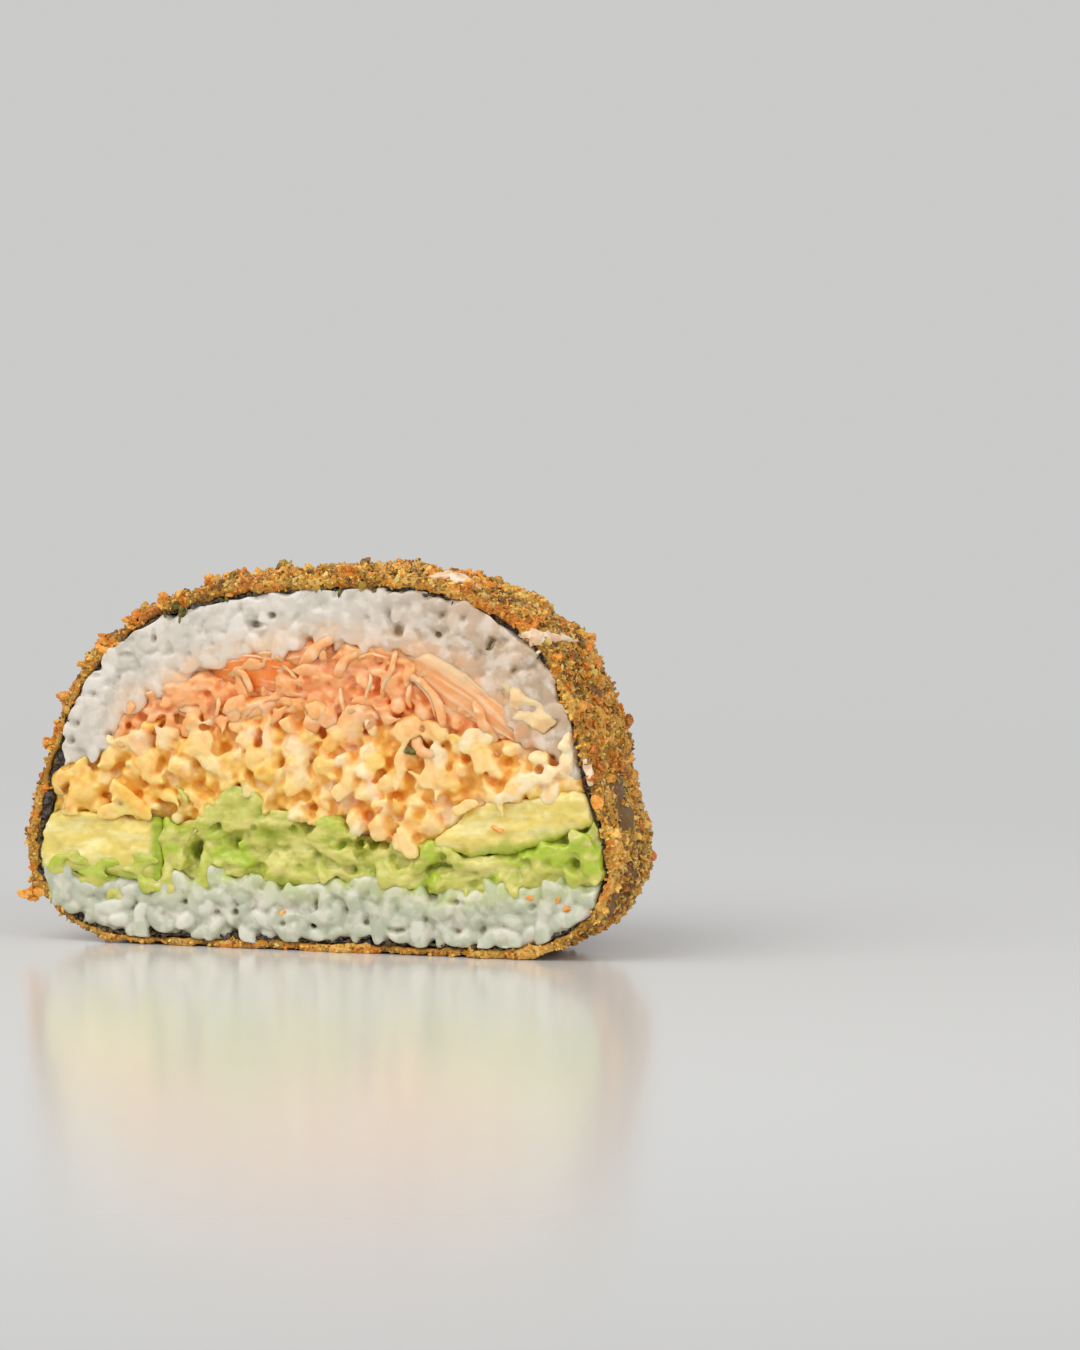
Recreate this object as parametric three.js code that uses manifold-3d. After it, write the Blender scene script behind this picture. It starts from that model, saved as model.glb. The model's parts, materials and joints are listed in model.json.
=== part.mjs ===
// Half of a breaded rice burger, cut down the middle and standing on its flat base, in millimetres, +Z up.
// A sheet of nori wraps rice, salmon, shredded crab salad and avocado. A coat of fried breadcrumbs covers it.
// The knife cut is a flat face towards -Y, where every layer shows. Each layer runs back through the food.
import * as THREE from "three";
import { mergeVertices } from "three/addons/utils/BufferGeometryUtils.js";
import Module from "manifold-3d";

const wasm = await Module();
wasm.setup();

// ---- Driving dimensions ----
const DEPTH = 51; // from the cut face to the back, over the nori
const PLAN_POWER = 2.5; // outline seen from above: 2 is an ellipse, more is squarer
const NORI_THICK = 0.7;
const COAT_BASE = 1.5; // breadcrumb coat under the base, pressed thin
const COAT_TOP = 1.7; // and over the sides and the top, between its crumbs
const GAP = 0.3; // between neighbouring solids
const BULGE_TOP = 1.8; // the knife presses the cut face in, so the body swells behind it
const BULGE_SIDE = 3.0;
const BULGE_FADE = 9;
const FRONT = -6; // forward reach of the solids that only cut others
const PROUD = 1.2; // the most that rice and chopped filling stand out of the cut
const SPAN = 60; // the lines between the layers run from -SPAN to SPAN, past the sides

// ---- Sizes of the small things ----
// pitch: from one to the next. clear: kept from a layer's edge. sink: how far a middle lies behind the cut.
// vary: share that sizes differ by. uneven: how rough the surface is. lean: most that they turn to the front.
const GRAIN = {
  size: [2.7, 5.6, 2.7], pitch: 4.4, clear: 0.7, sink: 1.4, vary: 0.15, uneven: 0.08, lean: 0.6,
};
const CRAB_BIT = {
  size: [5.4, 4.1, 3.8], pitch: 5.2, clear: 1.1, sink: 1.7, vary: 0.27, uneven: 0.3, lean: Math.PI,
};
const MASH_LUMP = {
  size: [6.0, 4.4, 4.1], pitch: 6.2, clear: 1.1, sink: 1.5, vary: 0.27, uneven: 0.3, lean: Math.PI,
};
const DEPTH_SPREAD = 1; // how much grains and lumps differ in how deep they lie
// Flakes of salmon: rows are the two shares of the layer's height that they lie at.
const FLAKE = {
  size: [15, 2.6, 3.4], count: 13, inset: 4, rows: [0.28, 0.72], vary: 0.25, uneven: 0.15, lean: 0.3,
};
// Fried crumbs stand out of the coat: none below lowest, full size above full, and calmer near the top's middle.
const CRAG = { height: 1.7, shift: 0.36, lowest: 3, full: 9, calm: 8 };

// ---- Mesh steps ----
const SMOOTH_STEPS = { plan: 13, base: 3, side: 18 };
const CRAG_STEPS = { plan: 30, base: 5, side: 33 };
const LINE_STEP = 5;
const BASE_SHARE = 0.24; // of a side's length, from the middle to where the flat base ends

// ---- Outline of the nori at the cut, from the middle of the base round to the middle of the top ----
const BASE = COAT_BASE;
const TOP = 61.4;
const RIGHT_SIDE = [
  [0, BASE], [30, BASE], [41, 3.4], [48.5, 8.5], [51, 17],
  [46.8, 31], [43.6, 42.5], [36.5, 54], [20, 61], [0, TOP],
];
const LEFT_SIDE = [
  [0, BASE], [33, BASE], [43, 2.8], [50.5, 8], [53, 16],
  [50, 30], [44, 44], [33, 54.6], [16, 60], [0, TOP],
];

// ---- Lines between the layers on the cut face, left to right, as [x, z] ----
const RICE_TOP_LINE = [
  [-SPAN, 29], [-48, 30], [-41, 33], [-35, 40.5], [-25, 46], [-15, 49.8], [1, 52.4], [14, 51.2],
  [22, 49.5], [32, 41], [38, 36.5], [43, 32], [SPAN, 31],
];
const SALMON_LINE = [
  [-37.5, 36.5], [-30, 38.6], [-23, 41.6], [-6, 42.6], [2, 44], [12, 40.5], [23, 38.2], [37, 36.2],
];
const AVOCADO_LINE = [
  [-SPAN, 22], [-41, 22.4], [-30, 21.8], [-24, 19.6], [-19, 22.8], [-4, 22.2], [3, 20.4], [14, 18.2],
  [20, 19.4], [23, 23], [29, 26.2], [43, 27.8], [SPAN, 29],
];
const RIGHT_SLICE_LINE = [[19, 18.4], [28, 16.6], [36, 18.1], [43, 21], [48, 23.6], [SPAN, 26]];
const RICE_BASE_LINE = [
  [-SPAN, 13], [-41, 11.5], [-28, 10.2], [-22, 12.6], [-6, 10.7],
  [8, 12.2], [22, 10.2], [39, 12.1], [SPAN, 14],
];
const SALMON_ENDS = [-36, 35.5];
const LEFT_SLICE_END = -29.5;
const RIGHT_SLICE_TIP = 20.5;

// ---- How far behind the cut plane each bare core starts ----
const CORE_FRONT = { rice: 1.5, salmon: 1.4, crab: 1.6, mash: 1.2, slice: 0.3 };
const EDGE_CLEAR = 0.3; // from the nori to the middles of the grains and lumps beside it

const COLOURS = {
  panko_coat: 0xa8691f, nori_wrap: 0x1d211a, rice_top: 0xdcd8cb, salmon: 0xe8906a, crab_salad: 0xf0c78c,
  avocado_slice_left: 0xe3d77f, avocado_slice_right: 0xe6da86, avocado_mash: 0xb4c24e, rice_base: 0xd5d9cb,
};
const USUAL_ROUGHNESS = 0.5;
const ROUGHNESS = { panko_coat: 0.85, nori_wrap: 0.6, avocado_slice_left: 0.38, avocado_slice_right: 0.38 };

// A seeded random number from 0 to 1 (the usual 32-bit mulberry generator).
function randomFrom(seed) {
  let state = seed;
  return () => {
    state = (state + 0x6d2b79f5) | 0;
    let t = Math.imul(state ^ (state >>> 15), 1 | state);
    t = (t + Math.imul(t ^ (t >>> 7), 61 | t)) ^ t;
    return ((t ^ (t >>> 14)) >>> 0) / 4294967296;
  };
}

// ---- From three.js geometry to a solid and back ----
function solidOf(geometry) {
  const bare = geometry.clone();
  bare.deleteAttribute("normal");
  bare.deleteAttribute("uv");
  const merged = mergeVertices(bare, 1e-4);
  return new wasm.Manifold(
    new wasm.Mesh({
      numProp: 3,
      vertProperties: new Float32Array(merged.attributes.position.array),
      triVerts: new Uint32Array(merged.index.array),
    }),
  );
}

// The largest closed body of a solid: loose scraps go, and a sealed hollow is filled.
function onePiece(solid) {
  return solid.decompose().reduce((best, body) => (body.volume() > best.volume() ? body : best));
}

function geometryOf(solid) {
  const mesh = solid.getMesh();
  const points = new Float32Array(mesh.numVert * 3);
  for (let i = 0; i < mesh.numVert; i++) {
    points.set(mesh.vertProperties.subarray(i * mesh.numProp, i * mesh.numProp + 3), i * 3);
  }
  const geometry = new THREE.BufferGeometry();
  geometry.setAttribute("position", new THREE.BufferAttribute(points, 3));
  geometry.setIndex(new THREE.BufferAttribute(mesh.triVerts, 1));
  geometry.computeVertexNormals();
  return geometry;
}

// ---- The burger's form ----
const spline = (points) => new THREE.SplineCurve(points.map(([a, b]) => new THREE.Vector2(a, b)));
const rightSide = spline(RIGHT_SIDE);
const leftSide = spline(LEFT_SIDE);
const reachOf = (side) => Math.max(...side.map(([reach]) => reach));

// A point of one side's outline at share u of its length, moved outwards by offset.
function sidePoint(side, u, offset) {
  const at = side.getPointAt(u);
  const along = side.getTangentAt(u);
  return { reach: at.x + offset * along.y, z: at.y - offset * along.x };
}

// A point of the form. angle runs from 0 at +X to PI at -X, and u from the base's middle to the top's middle.
function formPoint(angle, u, offset, baseOffset) {
  const right = sidePoint(rightSide, u, offset);
  const left = sidePoint(leftSide, u, offset);
  const turn = (1 - Math.cos(angle)) / 2;
  const z = Math.max(THREE.MathUtils.lerp(right.z, left.z, turn), BASE - baseOffset);
  if (u === 0 || u === 1) return new THREE.Vector3(0, 0, z);
  const reach = THREE.MathUtils.lerp(right.reach, left.reach, turn);
  const wide = THREE.MathUtils.lerp(reachOf(RIGHT_SIDE), reachOf(LEFT_SIDE), turn);
  const across = Math.abs(Math.cos(angle)) ** PLAN_POWER;
  const back = Math.abs((Math.sin(angle) * wide) / DEPTH) ** PLAN_POWER;
  const plan = reach * (across + back) ** (-1 / PLAN_POWER);
  const y = plan * Math.sin(angle);
  const swell = (1 - Math.exp(-y / BULGE_FADE)) * (z / TOP);
  const x = plan * Math.cos(angle) * (1 + (swell * BULGE_SIDE) / wide);
  return new THREE.Vector3(x, y, z + swell * (z / TOP) * BULGE_TOP);
}

// Share of a side's length at a step, with few steps along the flat base.
function shareAt(step, { base, side }) {
  if (step <= base) return (BASE_SHARE * step) / base;
  return THREE.MathUtils.lerp(BASE_SHARE, 1, (step - base) / side);
}

// The half body offset from the nori's outer face, closed by a flat front at y = front.
// Given a random draw, crumbs push points of its surface out and along it.
function halfBody(offsetAt, front = 0, steps = SMOOTH_STEPS, random = null) {
  const profile = steps.base + steps.side;
  const base = offsetAt(0);
  const usual = random ? CRAG.height / 3 : 0;
  const shift = () => (random ? (random() * 2 - 1) * CRAG.shift : 0);
  const points = [formPoint(0, 0, base, base), formPoint(0, 1, offsetAt(1) + usual, base)];
  const index = (row, step) => {
    if (step === 0) return 0;
    return step === profile ? 1 : 2 + row * (profile - 1) + step - 1;
  };
  for (let row = 0; row <= steps.plan; row++) {
    const onCut = row === 0 || row === steps.plan;
    for (let step = 1; step < profile; step++) {
      const u = shareAt(step + shift(), steps);
      const angle = (Math.PI * (row + (onCut ? 0 : shift()))) / steps.plan;
      const smooth = formPoint(angle, u, 0, base);
      const free = Math.min(1, Math.hypot(smooth.x, smooth.y) / CRAG.calm);
      const out = random ? THREE.MathUtils.lerp(usual, CRAG.height * random() ** 2, free) : 0;
      const rise = THREE.MathUtils.smoothstep(smooth.z, CRAG.lowest, CRAG.full);
      const point = formPoint(angle, u, offsetAt(u) + out * rise, base);
      if (onCut) point.y = 0;
      points.push(point);
    }
  }
  const faces = [];
  for (let row = 0; row < steps.plan; row++) {
    for (let step = 0; step < profile; step++) {
      const [a, b] = [index(row, step), index(row + 1, step)];
      const [c, d] = [index(row + 1, step + 1), index(row, step + 1)];
      if (a !== b) faces.push(a, b, c);
      if (c !== d) faces.push(a, c, d);
    }
  }
  // The outline at the cut, from the base's middle up the right side and down the left.
  const rim = [];
  for (let step = 0; step <= profile; step++) rim.push(index(0, step));
  for (let step = profile - 1; step > 0; step--) rim.push(index(steps.plan, step));
  let outer = rim;
  if (front < 0) {
    outer = rim.map((i) => points.push(new THREE.Vector3(points[i].x, front, points[i].z)) - 1);
    rim.forEach((i, k) => {
      const next = (k + 1) % rim.length;
      faces.push(i, rim[next], outer[next], i, outer[next], outer[k]);
    });
  }
  const hub = points.push(new THREE.Vector3(0, front, TOP / 2)) - 1;
  outer.forEach((i, k) => faces.push(hub, i, outer[(k + 1) % outer.length]));
  const geometry = new THREE.BufferGeometry().setFromPoints(points);
  geometry.setIndex(faces);
  return solidOf(geometry);
}

function coatOffset(u) {
  return THREE.MathUtils.lerp(COAT_BASE, COAT_TOP, THREE.MathUtils.smoothstep(u, BASE_SHARE, 0.5));
}
const level = (offset) => () => offset;
const FILL_OFFSET = -NORI_THICK - GAP;


// All that lies behind a plane at y.
function behind(y) {
  return solidOf(new THREE.BoxGeometry(2 * SPAN, 2 * DEPTH, 4 * SPAN).translate(0, y + DEPTH, 0));
}

// ---- Layers ----
// z of a line of [x, z] points at x, eased between them.
function easedAt(points, x) {
  const k = Math.max(1, points.findIndex(([px]) => px >= x));
  const [x0, z0] = points[k - 1];
  const [x1, z1] = points[k];
  const share = THREE.MathUtils.clamp((x - x0) / (x1 - x0), 0, 1);
  const eased = THREE.MathUtils.lerp(share, share * share * (3 - 2 * share), 0.5);
  return THREE.MathUtils.lerp(z0, z1, eased);
}

// The same line with corners on one grid of x only, so that the layers on its two sides follow each other.
function lineAt(points, x) {
  const before = Math.floor(x / LINE_STEP) * LINE_STEP;
  const share = (x - before) / LINE_STEP;
  return THREE.MathUtils.lerp(easedAt(points, before), easedAt(points, before + LINE_STEP), share);
}
const floorLine = () => -SPAN;
const skyLine = () => 2 * SPAN;
const riceTopLine = (x) => lineAt(RICE_TOP_LINE, x);
const salmonLine = (x) => lineAt(SALMON_LINE, x);
const avocadoLine = (x) => lineAt(AVOCADO_LINE, x);
const rightSliceLine = (x) => lineAt(RIGHT_SLICE_LINE, x);
const riceBaseLine = (x) => lineAt(RICE_BASE_LINE, x);

// Each zone of the cut face lies between two lines, from x0 to x1, less another zone that sits in it.
const full = { x0: -SPAN, x1: SPAN };
const overRice = { ...full, low: riceBaseLine, high: avocadoLine };
const SALMON_ZONE = { low: salmonLine, high: riceTopLine, x0: SALMON_ENDS[0], x1: SALMON_ENDS[1] };
const RIGHT_SLICE_ZONE = { ...full, low: rightSliceLine, high: avocadoLine, x0: RIGHT_SLICE_TIP };
const ZONES = {
  rice_top: { ...full, low: riceTopLine, high: skyLine },
  salmon: SALMON_ZONE,
  crab_salad: { ...full, low: avocadoLine, high: riceTopLine, less: SALMON_ZONE },
  avocado_slice_left: { ...overRice, x1: LEFT_SLICE_END },
  avocado_slice_right: RIGHT_SLICE_ZONE,
  avocado_mash: { ...overRice, x0: LEFT_SLICE_END + GAP, less: RIGHT_SLICE_ZONE },
  rice_base: { ...full, low: floorLine, high: riceBaseLine },
};

// A zone carried all the way through the food, larger by grow on each side.
function zoneSolid({ low, high, x0, x1, less }, grow = 0) {
  const xs = [x0 - grow];
  for (let x = (Math.floor(x0 / LINE_STEP) + 1) * LINE_STEP; x < x1; x += LINE_STEP) xs.push(x);
  xs.push(x1 + grow);
  const outline = xs.map((x) => new THREE.Vector2(x, low(x) + GAP / 2 - grow));
  for (const x of xs.reverse()) outline.push(new THREE.Vector2(x, high(x) - GAP / 2 + grow));
  const through = { depth: 2 * DEPTH, bevelEnabled: false, steps: 1 };
  const geometry = new THREE.ExtrudeGeometry(new THREE.Shape(outline), through);
  const solid = solidOf(geometry.rotateX(Math.PI / 2).translate(0, through.depth + FRONT, 0));
  return less ? solid.subtract(zoneSolid(less, GAP)) : solid;
}

const fill = halfBody(level(FILL_OFFSET));
const fillForward = halfBody(level(FILL_OFFSET), -PROUD);

// The filling's outline on the cut face, a little inside the nori.
const shares = Array.from({ length: 40 }, (_, i) => i / 40);
const cutOutline = [
  ...shares.map((u) => ({ side: 1, ...sidePoint(rightSide, u, FILL_OFFSET - EDGE_CLEAR) })),
  ...shares.map((u) => ({ side: -1, ...sidePoint(leftSide, 1 - u, FILL_OFFSET - EDGE_CLEAR) })),
].map(({ side, reach, z }) => ({ x: side * reach, z }));

function inOutline(x, z) {
  return cutOutline.reduce((inside, a, i) => {
    const b = cutOutline.at(i - 1);
    const crosses = a.z > z !== b.z > z && x < ((b.x - a.x) * (z - a.z)) / (b.z - a.z) + a.x;
    return crosses ? !inside : inside;
  }, false);
}

// True where a spot on the cut face lies in a zone, clear of its edges.
function inZone({ low, high, x0, x1, less }, x, z, clear) {
  if (x < x0 + clear || x > x1 - clear || z < low(x) + clear || z > high(x) - clear) return false;
  return inOutline(x, z) && !(less && inZone(less, x, z, -clear));
}

// Even spots over a zone's cut face, in staggered rows, each moved a little.
function spots(zone, pitch, clear, random) {
  const found = [];
  const move = () => (random() - 0.5) * pitch * 0.5;
  for (let row = 0; row * pitch < TOP * 1.2; row++) {
    for (let x = -SPAN + (row % 2) * (pitch / 2); x < SPAN; x += pitch) {
      const spot = { x: x + move(), z: (row + 0.3) * pitch * Math.sin(Math.PI / 3) + move() };
      if (inZone(zone, spot.x, spot.z, clear)) found.push(spot);
    }
  }
  return found;
}

// A faceted pebble with an uneven surface, turned and moved into place.
function pebble(shape, kind, place, turn, random) {
  const geometry = shape.clone();
  geometry.deleteAttribute("normal");
  geometry.deleteAttribute("uv");
  const merged = mergeVertices(geometry, 1e-4);
  const at = merged.attributes.position;
  const corner = new THREE.Vector3();
  for (let i = 0; i < at.count; i++) {
    corner.fromBufferAttribute(at, i).multiplyScalar(1 + (random() - 0.5) * kind.uneven);
    at.setXYZ(i, corner.x, corner.y, corner.z);
  }
  const size = new THREE.Vector3(...kind.size).multiplyScalar(1 + (random() * 2 - 1) * kind.vary);
  const matrix = new THREE.Matrix4().compose(place, new THREE.Quaternion().setFromEuler(turn), size);
  return solidOf(merged.applyMatrix4(matrix));
}
const GRAIN_SHAPE = new THREE.SphereGeometry(0.5, 6, 3);
const LUMP_SHAPE = new THREE.IcosahedronGeometry(0.5, 0);
const FLAKE_SHAPE = new THREE.SphereGeometry(0.5, 6, 4).rotateZ(Math.PI / 2);

// Grains or lumps lie all over a zone's cut face, turned every way.
function scattered(zone, shape, kind, random) {
  return spots(zone, kind.pitch, kind.clear, random).map(({ x, z }) => {
    const place = new THREE.Vector3(x, kind.sink + (random() - 0.5) * DEPTH_SPREAD, z);
    const [roll, spin] = [random() * 2 * Math.PI, random() * 2 * Math.PI];
    const turn = new THREE.Euler((random() * 2 - 1) * kind.lean, roll, spin);
    return pebble(shape, kind, place, turn, random);
  });
}

// Flakes of salmon lie along their layer in two rows, and follow its arch.
function salmonFlakes({ low, high, x0, x1 }, random) {
  return Array.from({ length: FLAKE.count }, (_, i) => {
    const x = THREE.MathUtils.lerp(x0 + FLAKE.inset, x1 - FLAKE.inset, (i + 0.5) / FLAKE.count);
    const z = THREE.MathUtils.lerp(low(x), high(x), FLAKE.rows[i % 2]);
    const slope = Math.atan2(high(x + FLAKE.inset) - high(x - FLAKE.inset), 2 * FLAKE.inset);
    const lean = () => (random() * 2 - 1) * FLAKE.lean;
    const turn = new THREE.Euler(lean(), lean() - slope, 0);
    return pebble(FLAKE_SHAPE, FLAKE, new THREE.Vector3(x, CORE_FRONT.salmon, z), turn, random);
  });
}

// A layer: its bare core with the pieces that show fused on, cut to its own zone and inside the nori.
function layer(name, front, pieces = []) {
  const zone = zoneSolid(ZONES[name]);
  const core = fill.intersect(zone).intersect(behind(front));
  if (!pieces.length) return onePiece(core);
  const dressed = wasm.Manifold.union([core, ...pieces]);
  return onePiece(dressed.intersect(zone).intersect(fillForward));
}

// ---- Wrap and coat ----
function noriWrap() {
  return onePiece(halfBody(level(0)).subtract(halfBody(level(-NORI_THICK), FRONT)));
}

function pankoCoat(random) {
  return onePiece(halfBody(coatOffset, 0, CRAG_STEPS, random).subtract(halfBody(level(GAP), FRONT)));
}

// ---- The finished half ----
const grains = (name, seed) => scattered(ZONES[name], GRAIN_SHAPE, GRAIN, randomFrom(seed));
const crabBits = scattered(ZONES.crab_salad, LUMP_SHAPE, CRAB_BIT, randomFrom(41));
const mashLumps = scattered(ZONES.avocado_mash, LUMP_SHAPE, MASH_LUMP, randomFrom(51));
const SOLIDS = {
  panko_coat: pankoCoat(randomFrom(11)),
  nori_wrap: noriWrap(),
  rice_top: layer("rice_top", CORE_FRONT.rice, grains("rice_top", 21)),
  salmon: layer("salmon", CORE_FRONT.salmon, salmonFlakes(ZONES.salmon, randomFrom(31))),
  crab_salad: layer("crab_salad", CORE_FRONT.crab, crabBits),
  avocado_slice_left: layer("avocado_slice_left", CORE_FRONT.slice),
  avocado_slice_right: layer("avocado_slice_right", CORE_FRONT.slice),
  avocado_mash: layer("avocado_mash", CORE_FRONT.mash, mashLumps),
  rice_base: layer("rice_base", CORE_FRONT.rice, grains("rice_base", 61)),
};

const half = new THREE.Group();
for (const [name, solid] of Object.entries(SOLIDS)) {
  const material = new THREE.MeshStandardMaterial({
    color: COLOURS[name],
    roughness: ROUGHNESS[name] ?? USUAL_ROUGHNESS,
    metalness: 0,
  });
  const mesh = new THREE.Mesh(geometryOf(solid), material);
  mesh.name = name;
  half.add(mesh);
}

// The origin is under the middle of the half, on the surface that it stands on.
const bounds = new THREE.Box3().setFromObject(half);
const middle = bounds.getCenter(new THREE.Vector3());
half.position.set(-middle.x, -middle.y, -bounds.min.z);

const burger = new THREE.Group();
burger.add(half);
export default burger;
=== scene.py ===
"""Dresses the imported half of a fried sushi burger: crust, crumbs, seaweed, rice, salmon, crab and avocado."""

import json
import math

import bmesh
import bpy
import numpy as np
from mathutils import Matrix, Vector
from mathutils.bvhtree import BVHTree
from mathutils.kdtree import KDTree

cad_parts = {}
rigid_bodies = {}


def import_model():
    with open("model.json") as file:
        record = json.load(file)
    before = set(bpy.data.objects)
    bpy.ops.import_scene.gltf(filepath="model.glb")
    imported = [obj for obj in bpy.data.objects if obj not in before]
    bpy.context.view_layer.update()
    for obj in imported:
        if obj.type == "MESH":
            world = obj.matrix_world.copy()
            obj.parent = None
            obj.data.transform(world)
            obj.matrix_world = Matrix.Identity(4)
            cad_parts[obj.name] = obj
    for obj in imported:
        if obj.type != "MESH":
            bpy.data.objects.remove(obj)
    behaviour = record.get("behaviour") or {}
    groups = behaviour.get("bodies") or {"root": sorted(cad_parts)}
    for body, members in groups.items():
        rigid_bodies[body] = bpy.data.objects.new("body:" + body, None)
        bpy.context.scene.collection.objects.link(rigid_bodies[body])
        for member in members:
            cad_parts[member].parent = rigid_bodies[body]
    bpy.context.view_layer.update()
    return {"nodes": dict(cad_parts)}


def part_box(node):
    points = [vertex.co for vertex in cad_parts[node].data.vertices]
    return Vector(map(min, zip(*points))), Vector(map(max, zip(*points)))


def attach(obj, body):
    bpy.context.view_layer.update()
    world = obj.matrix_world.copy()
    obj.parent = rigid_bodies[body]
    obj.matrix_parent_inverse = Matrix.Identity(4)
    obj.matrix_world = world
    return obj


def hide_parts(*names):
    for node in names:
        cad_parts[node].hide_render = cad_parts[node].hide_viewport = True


bl_info = {
    "name": "Cut Sushi Burger",
    "version": (1, 0, 0),
    "blender": (4, 5, 0),
    "location": "3D View > Sidebar > Sushi Burger",
    "description": "Makes the crust, rice and filling of a cut sushi burger round its packed solids",
    "category": "Object",
}

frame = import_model()

MM = 0.001
COAT_LOW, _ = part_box("panko_coat")
FACE = round(COAT_LOW.y / MM, 3)  # y of the cut face, in mm
HEART = np.array([0.0, FACE, 22.0])  # a point that every part of the outline can be seen from, in mm
EYE = Vector((0.43162, -1.09276, 0.1290))  # where the camera stands
LENS, TILT, TURN = 182.77, 85.91, 20.17  # the camera's lens in mm and its angles in degrees

# Depths behind the cut face, in mm
SLAB_BACK = 5.5  # how far the slabs that carry the relief reach
SKIN_BACK = 4.6  # where the dressed skin is cut off
CORE_FRONT = 4.4  # where the plain core starts, a little inside the skin

# ---------------------------------------------------------------- numbers and noise


def linear(*levels):
    """Colour levels from 0 to 255, as a picture shows them, in linear light."""
    shares = [level / 255.0 for level in levels]
    return tuple(s / 12.92 if s <= 0.04045 else ((s + 0.055) / 1.055) ** 2.4 for s in shares)


def blended(first, second, share):
    """A colour with this share of the second one in it."""
    return [(1.0 - share) * a + share * b for a, b in zip(first, second)]


def lattice_noise(points, size, seed):
    """Smooth noise from -1 to 1 with bumps about size mm across."""
    table = np.random.default_rng(seed).uniform(-1.0, 1.0, 4096)
    cell = points / size
    low = np.floor(cell).astype(np.int64)
    part = cell - low
    part = part * part * (3.0 - 2.0 * part)
    total = np.zeros(len(points))
    for corner in range(8):
        step = np.array([corner & 1, (corner >> 1) & 1, corner >> 2])
        at = low + step
        key = (at[:, 0] * 73856093) ^ (at[:, 1] * 19349663) ^ (at[:, 2] * 83492791)
        total += np.prod(np.where(step == 1, part, 1.0 - part), axis=1) * table[key & 4095]
    return total


def rough_noise(points, size, seed, layers=3, fade=0.55):
    """Several layers of noise, each half as wide as the one before."""
    return sum(fade**n * lattice_noise(points, size / 2.0**n, seed + n) for n in range(layers))


def eased(values, start, end):
    """0 before start, 1 after end and smooth between them."""
    share = np.clip((values - start) / (end - start), 0.0, 1.0)
    return share * share * (3.0 - 2.0 * share)


# ---------------------------------------------------------------- meshes


def vectors(items, key):
    """One vector for each item of a mesh."""
    flat = np.zeros(len(items) * 3, np.float32)
    items.foreach_get(key, flat)
    return flat.reshape(-1, 3).astype(float)


def points_of(mesh):
    """The vertices of a mesh, in mm."""
    return vectors(mesh.vertices, "co") / MM


def normals_of(mesh):
    """The way out of a mesh at each vertex."""
    return vectors(mesh.vertex_normals, "vector")


def move_points(mesh, points):
    """Puts the vertices of a mesh at these places, in mm."""
    mesh.vertices.foreach_set("co", (points * MM).astype(np.float32).ravel())
    mesh.update()


def mesh_of(name, points, faces):
    """A new mesh from places in mm and lists of corners."""
    mesh = bpy.data.meshes.new(name)
    mesh.from_pydata([tuple(p) for p in np.asarray(points) * MM], [], faces)
    mesh.update()
    return mesh


def opened(*meshes):
    """All of these meshes as one that can be edited."""
    bm = bmesh.new()
    for mesh in meshes:
        bm.from_mesh(mesh)
    return bm


def closed(name, bm):
    """A mesh from an edited one."""
    mesh = bpy.data.meshes.new(name)
    bm.to_mesh(mesh)
    bm.free()
    return mesh


def joined(name, *meshes):
    """One mesh that holds all of these."""
    return closed(name, opened(*meshes))


def outward(mesh):
    """The same mesh with every face turned out."""
    bm = opened(mesh)
    bmesh.ops.recalc_face_normals(bm, faces=bm.faces)
    return closed(mesh.name, bm)


def to_viewer(name, bm):
    """A mesh whose faces all look at the viewer."""
    for face in bm.faces:
        if face.normal.y > 0.0:
            face.normal_flip()
    return closed(name, bm)


def cut_flat(bm, depth, keep_behind):
    """Cuts a mesh at a depth behind the face, and closes the cut. Returns the faces that close it."""
    cut = bmesh.ops.bisect_plane(
        bm,
        geom=bm.verts[:] + bm.edges[:] + bm.faces[:],
        dist=1e-7,
        plane_co=(0.0, (FACE + depth) * MM, 0.0),
        plane_no=(0.0, 1.0, 0.0),
        clear_inner=keep_behind,
        clear_outer=not keep_behind,
    )
    rim = [e for e in cut["geom_cut"] if isinstance(e, bmesh.types.BMEdge) and e.is_boundary]
    way = (0.0, -1.0 if keep_behind else 1.0, 0.0)
    made = bmesh.ops.triangle_fill(bm, use_beauty=True, use_dissolve=False, edges=rim, normal=way)
    bmesh.ops.recalc_face_normals(bm, faces=bm.faces)
    return {f for f in made["geom"] if isinstance(f, bmesh.types.BMFace)}


def welded(node):
    """A CAD node to edit, with its doubled corners welded."""
    bm = opened(frame["nodes"][node].data)
    bmesh.ops.remove_doubles(bm, verts=bm.verts, dist=0.001 * MM)
    return bm


def zone(node, near=None, far=None):
    """The part of a CAD node between two depths."""
    bm = welded(node)
    if near is not None:
        cut_flat(bm, near, True)
    if far is not None:
        cut_flat(bm, far, False)
    return closed(node + "_zone", bm)


def zone_front(node, depth):
    """The flat section of a CAD node at a depth behind the face."""
    bm = welded(node)
    lids = cut_flat(bm, depth, True)
    bmesh.ops.delete(bm, geom=[f for f in bm.faces if f not in lids], context="FACES")
    bmesh.ops.triangulate(bm, faces=bm.faces)
    return to_viewer(node + "_front", bm)


def temporary(mesh):
    """A short-lived object that modifiers can work on."""
    obj = bpy.data.objects.new("temporary", mesh)
    bpy.context.scene.collection.objects.link(obj)
    return obj


def settled(obj):
    """The mesh that an object's modifiers make. The object itself is removed."""
    bpy.context.view_layer.update()
    deps = bpy.context.evaluated_depsgraph_get()
    mesh = bpy.data.meshes.new_from_object(obj.evaluated_get(deps))
    bpy.data.objects.remove(obj)
    return mesh


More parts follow.
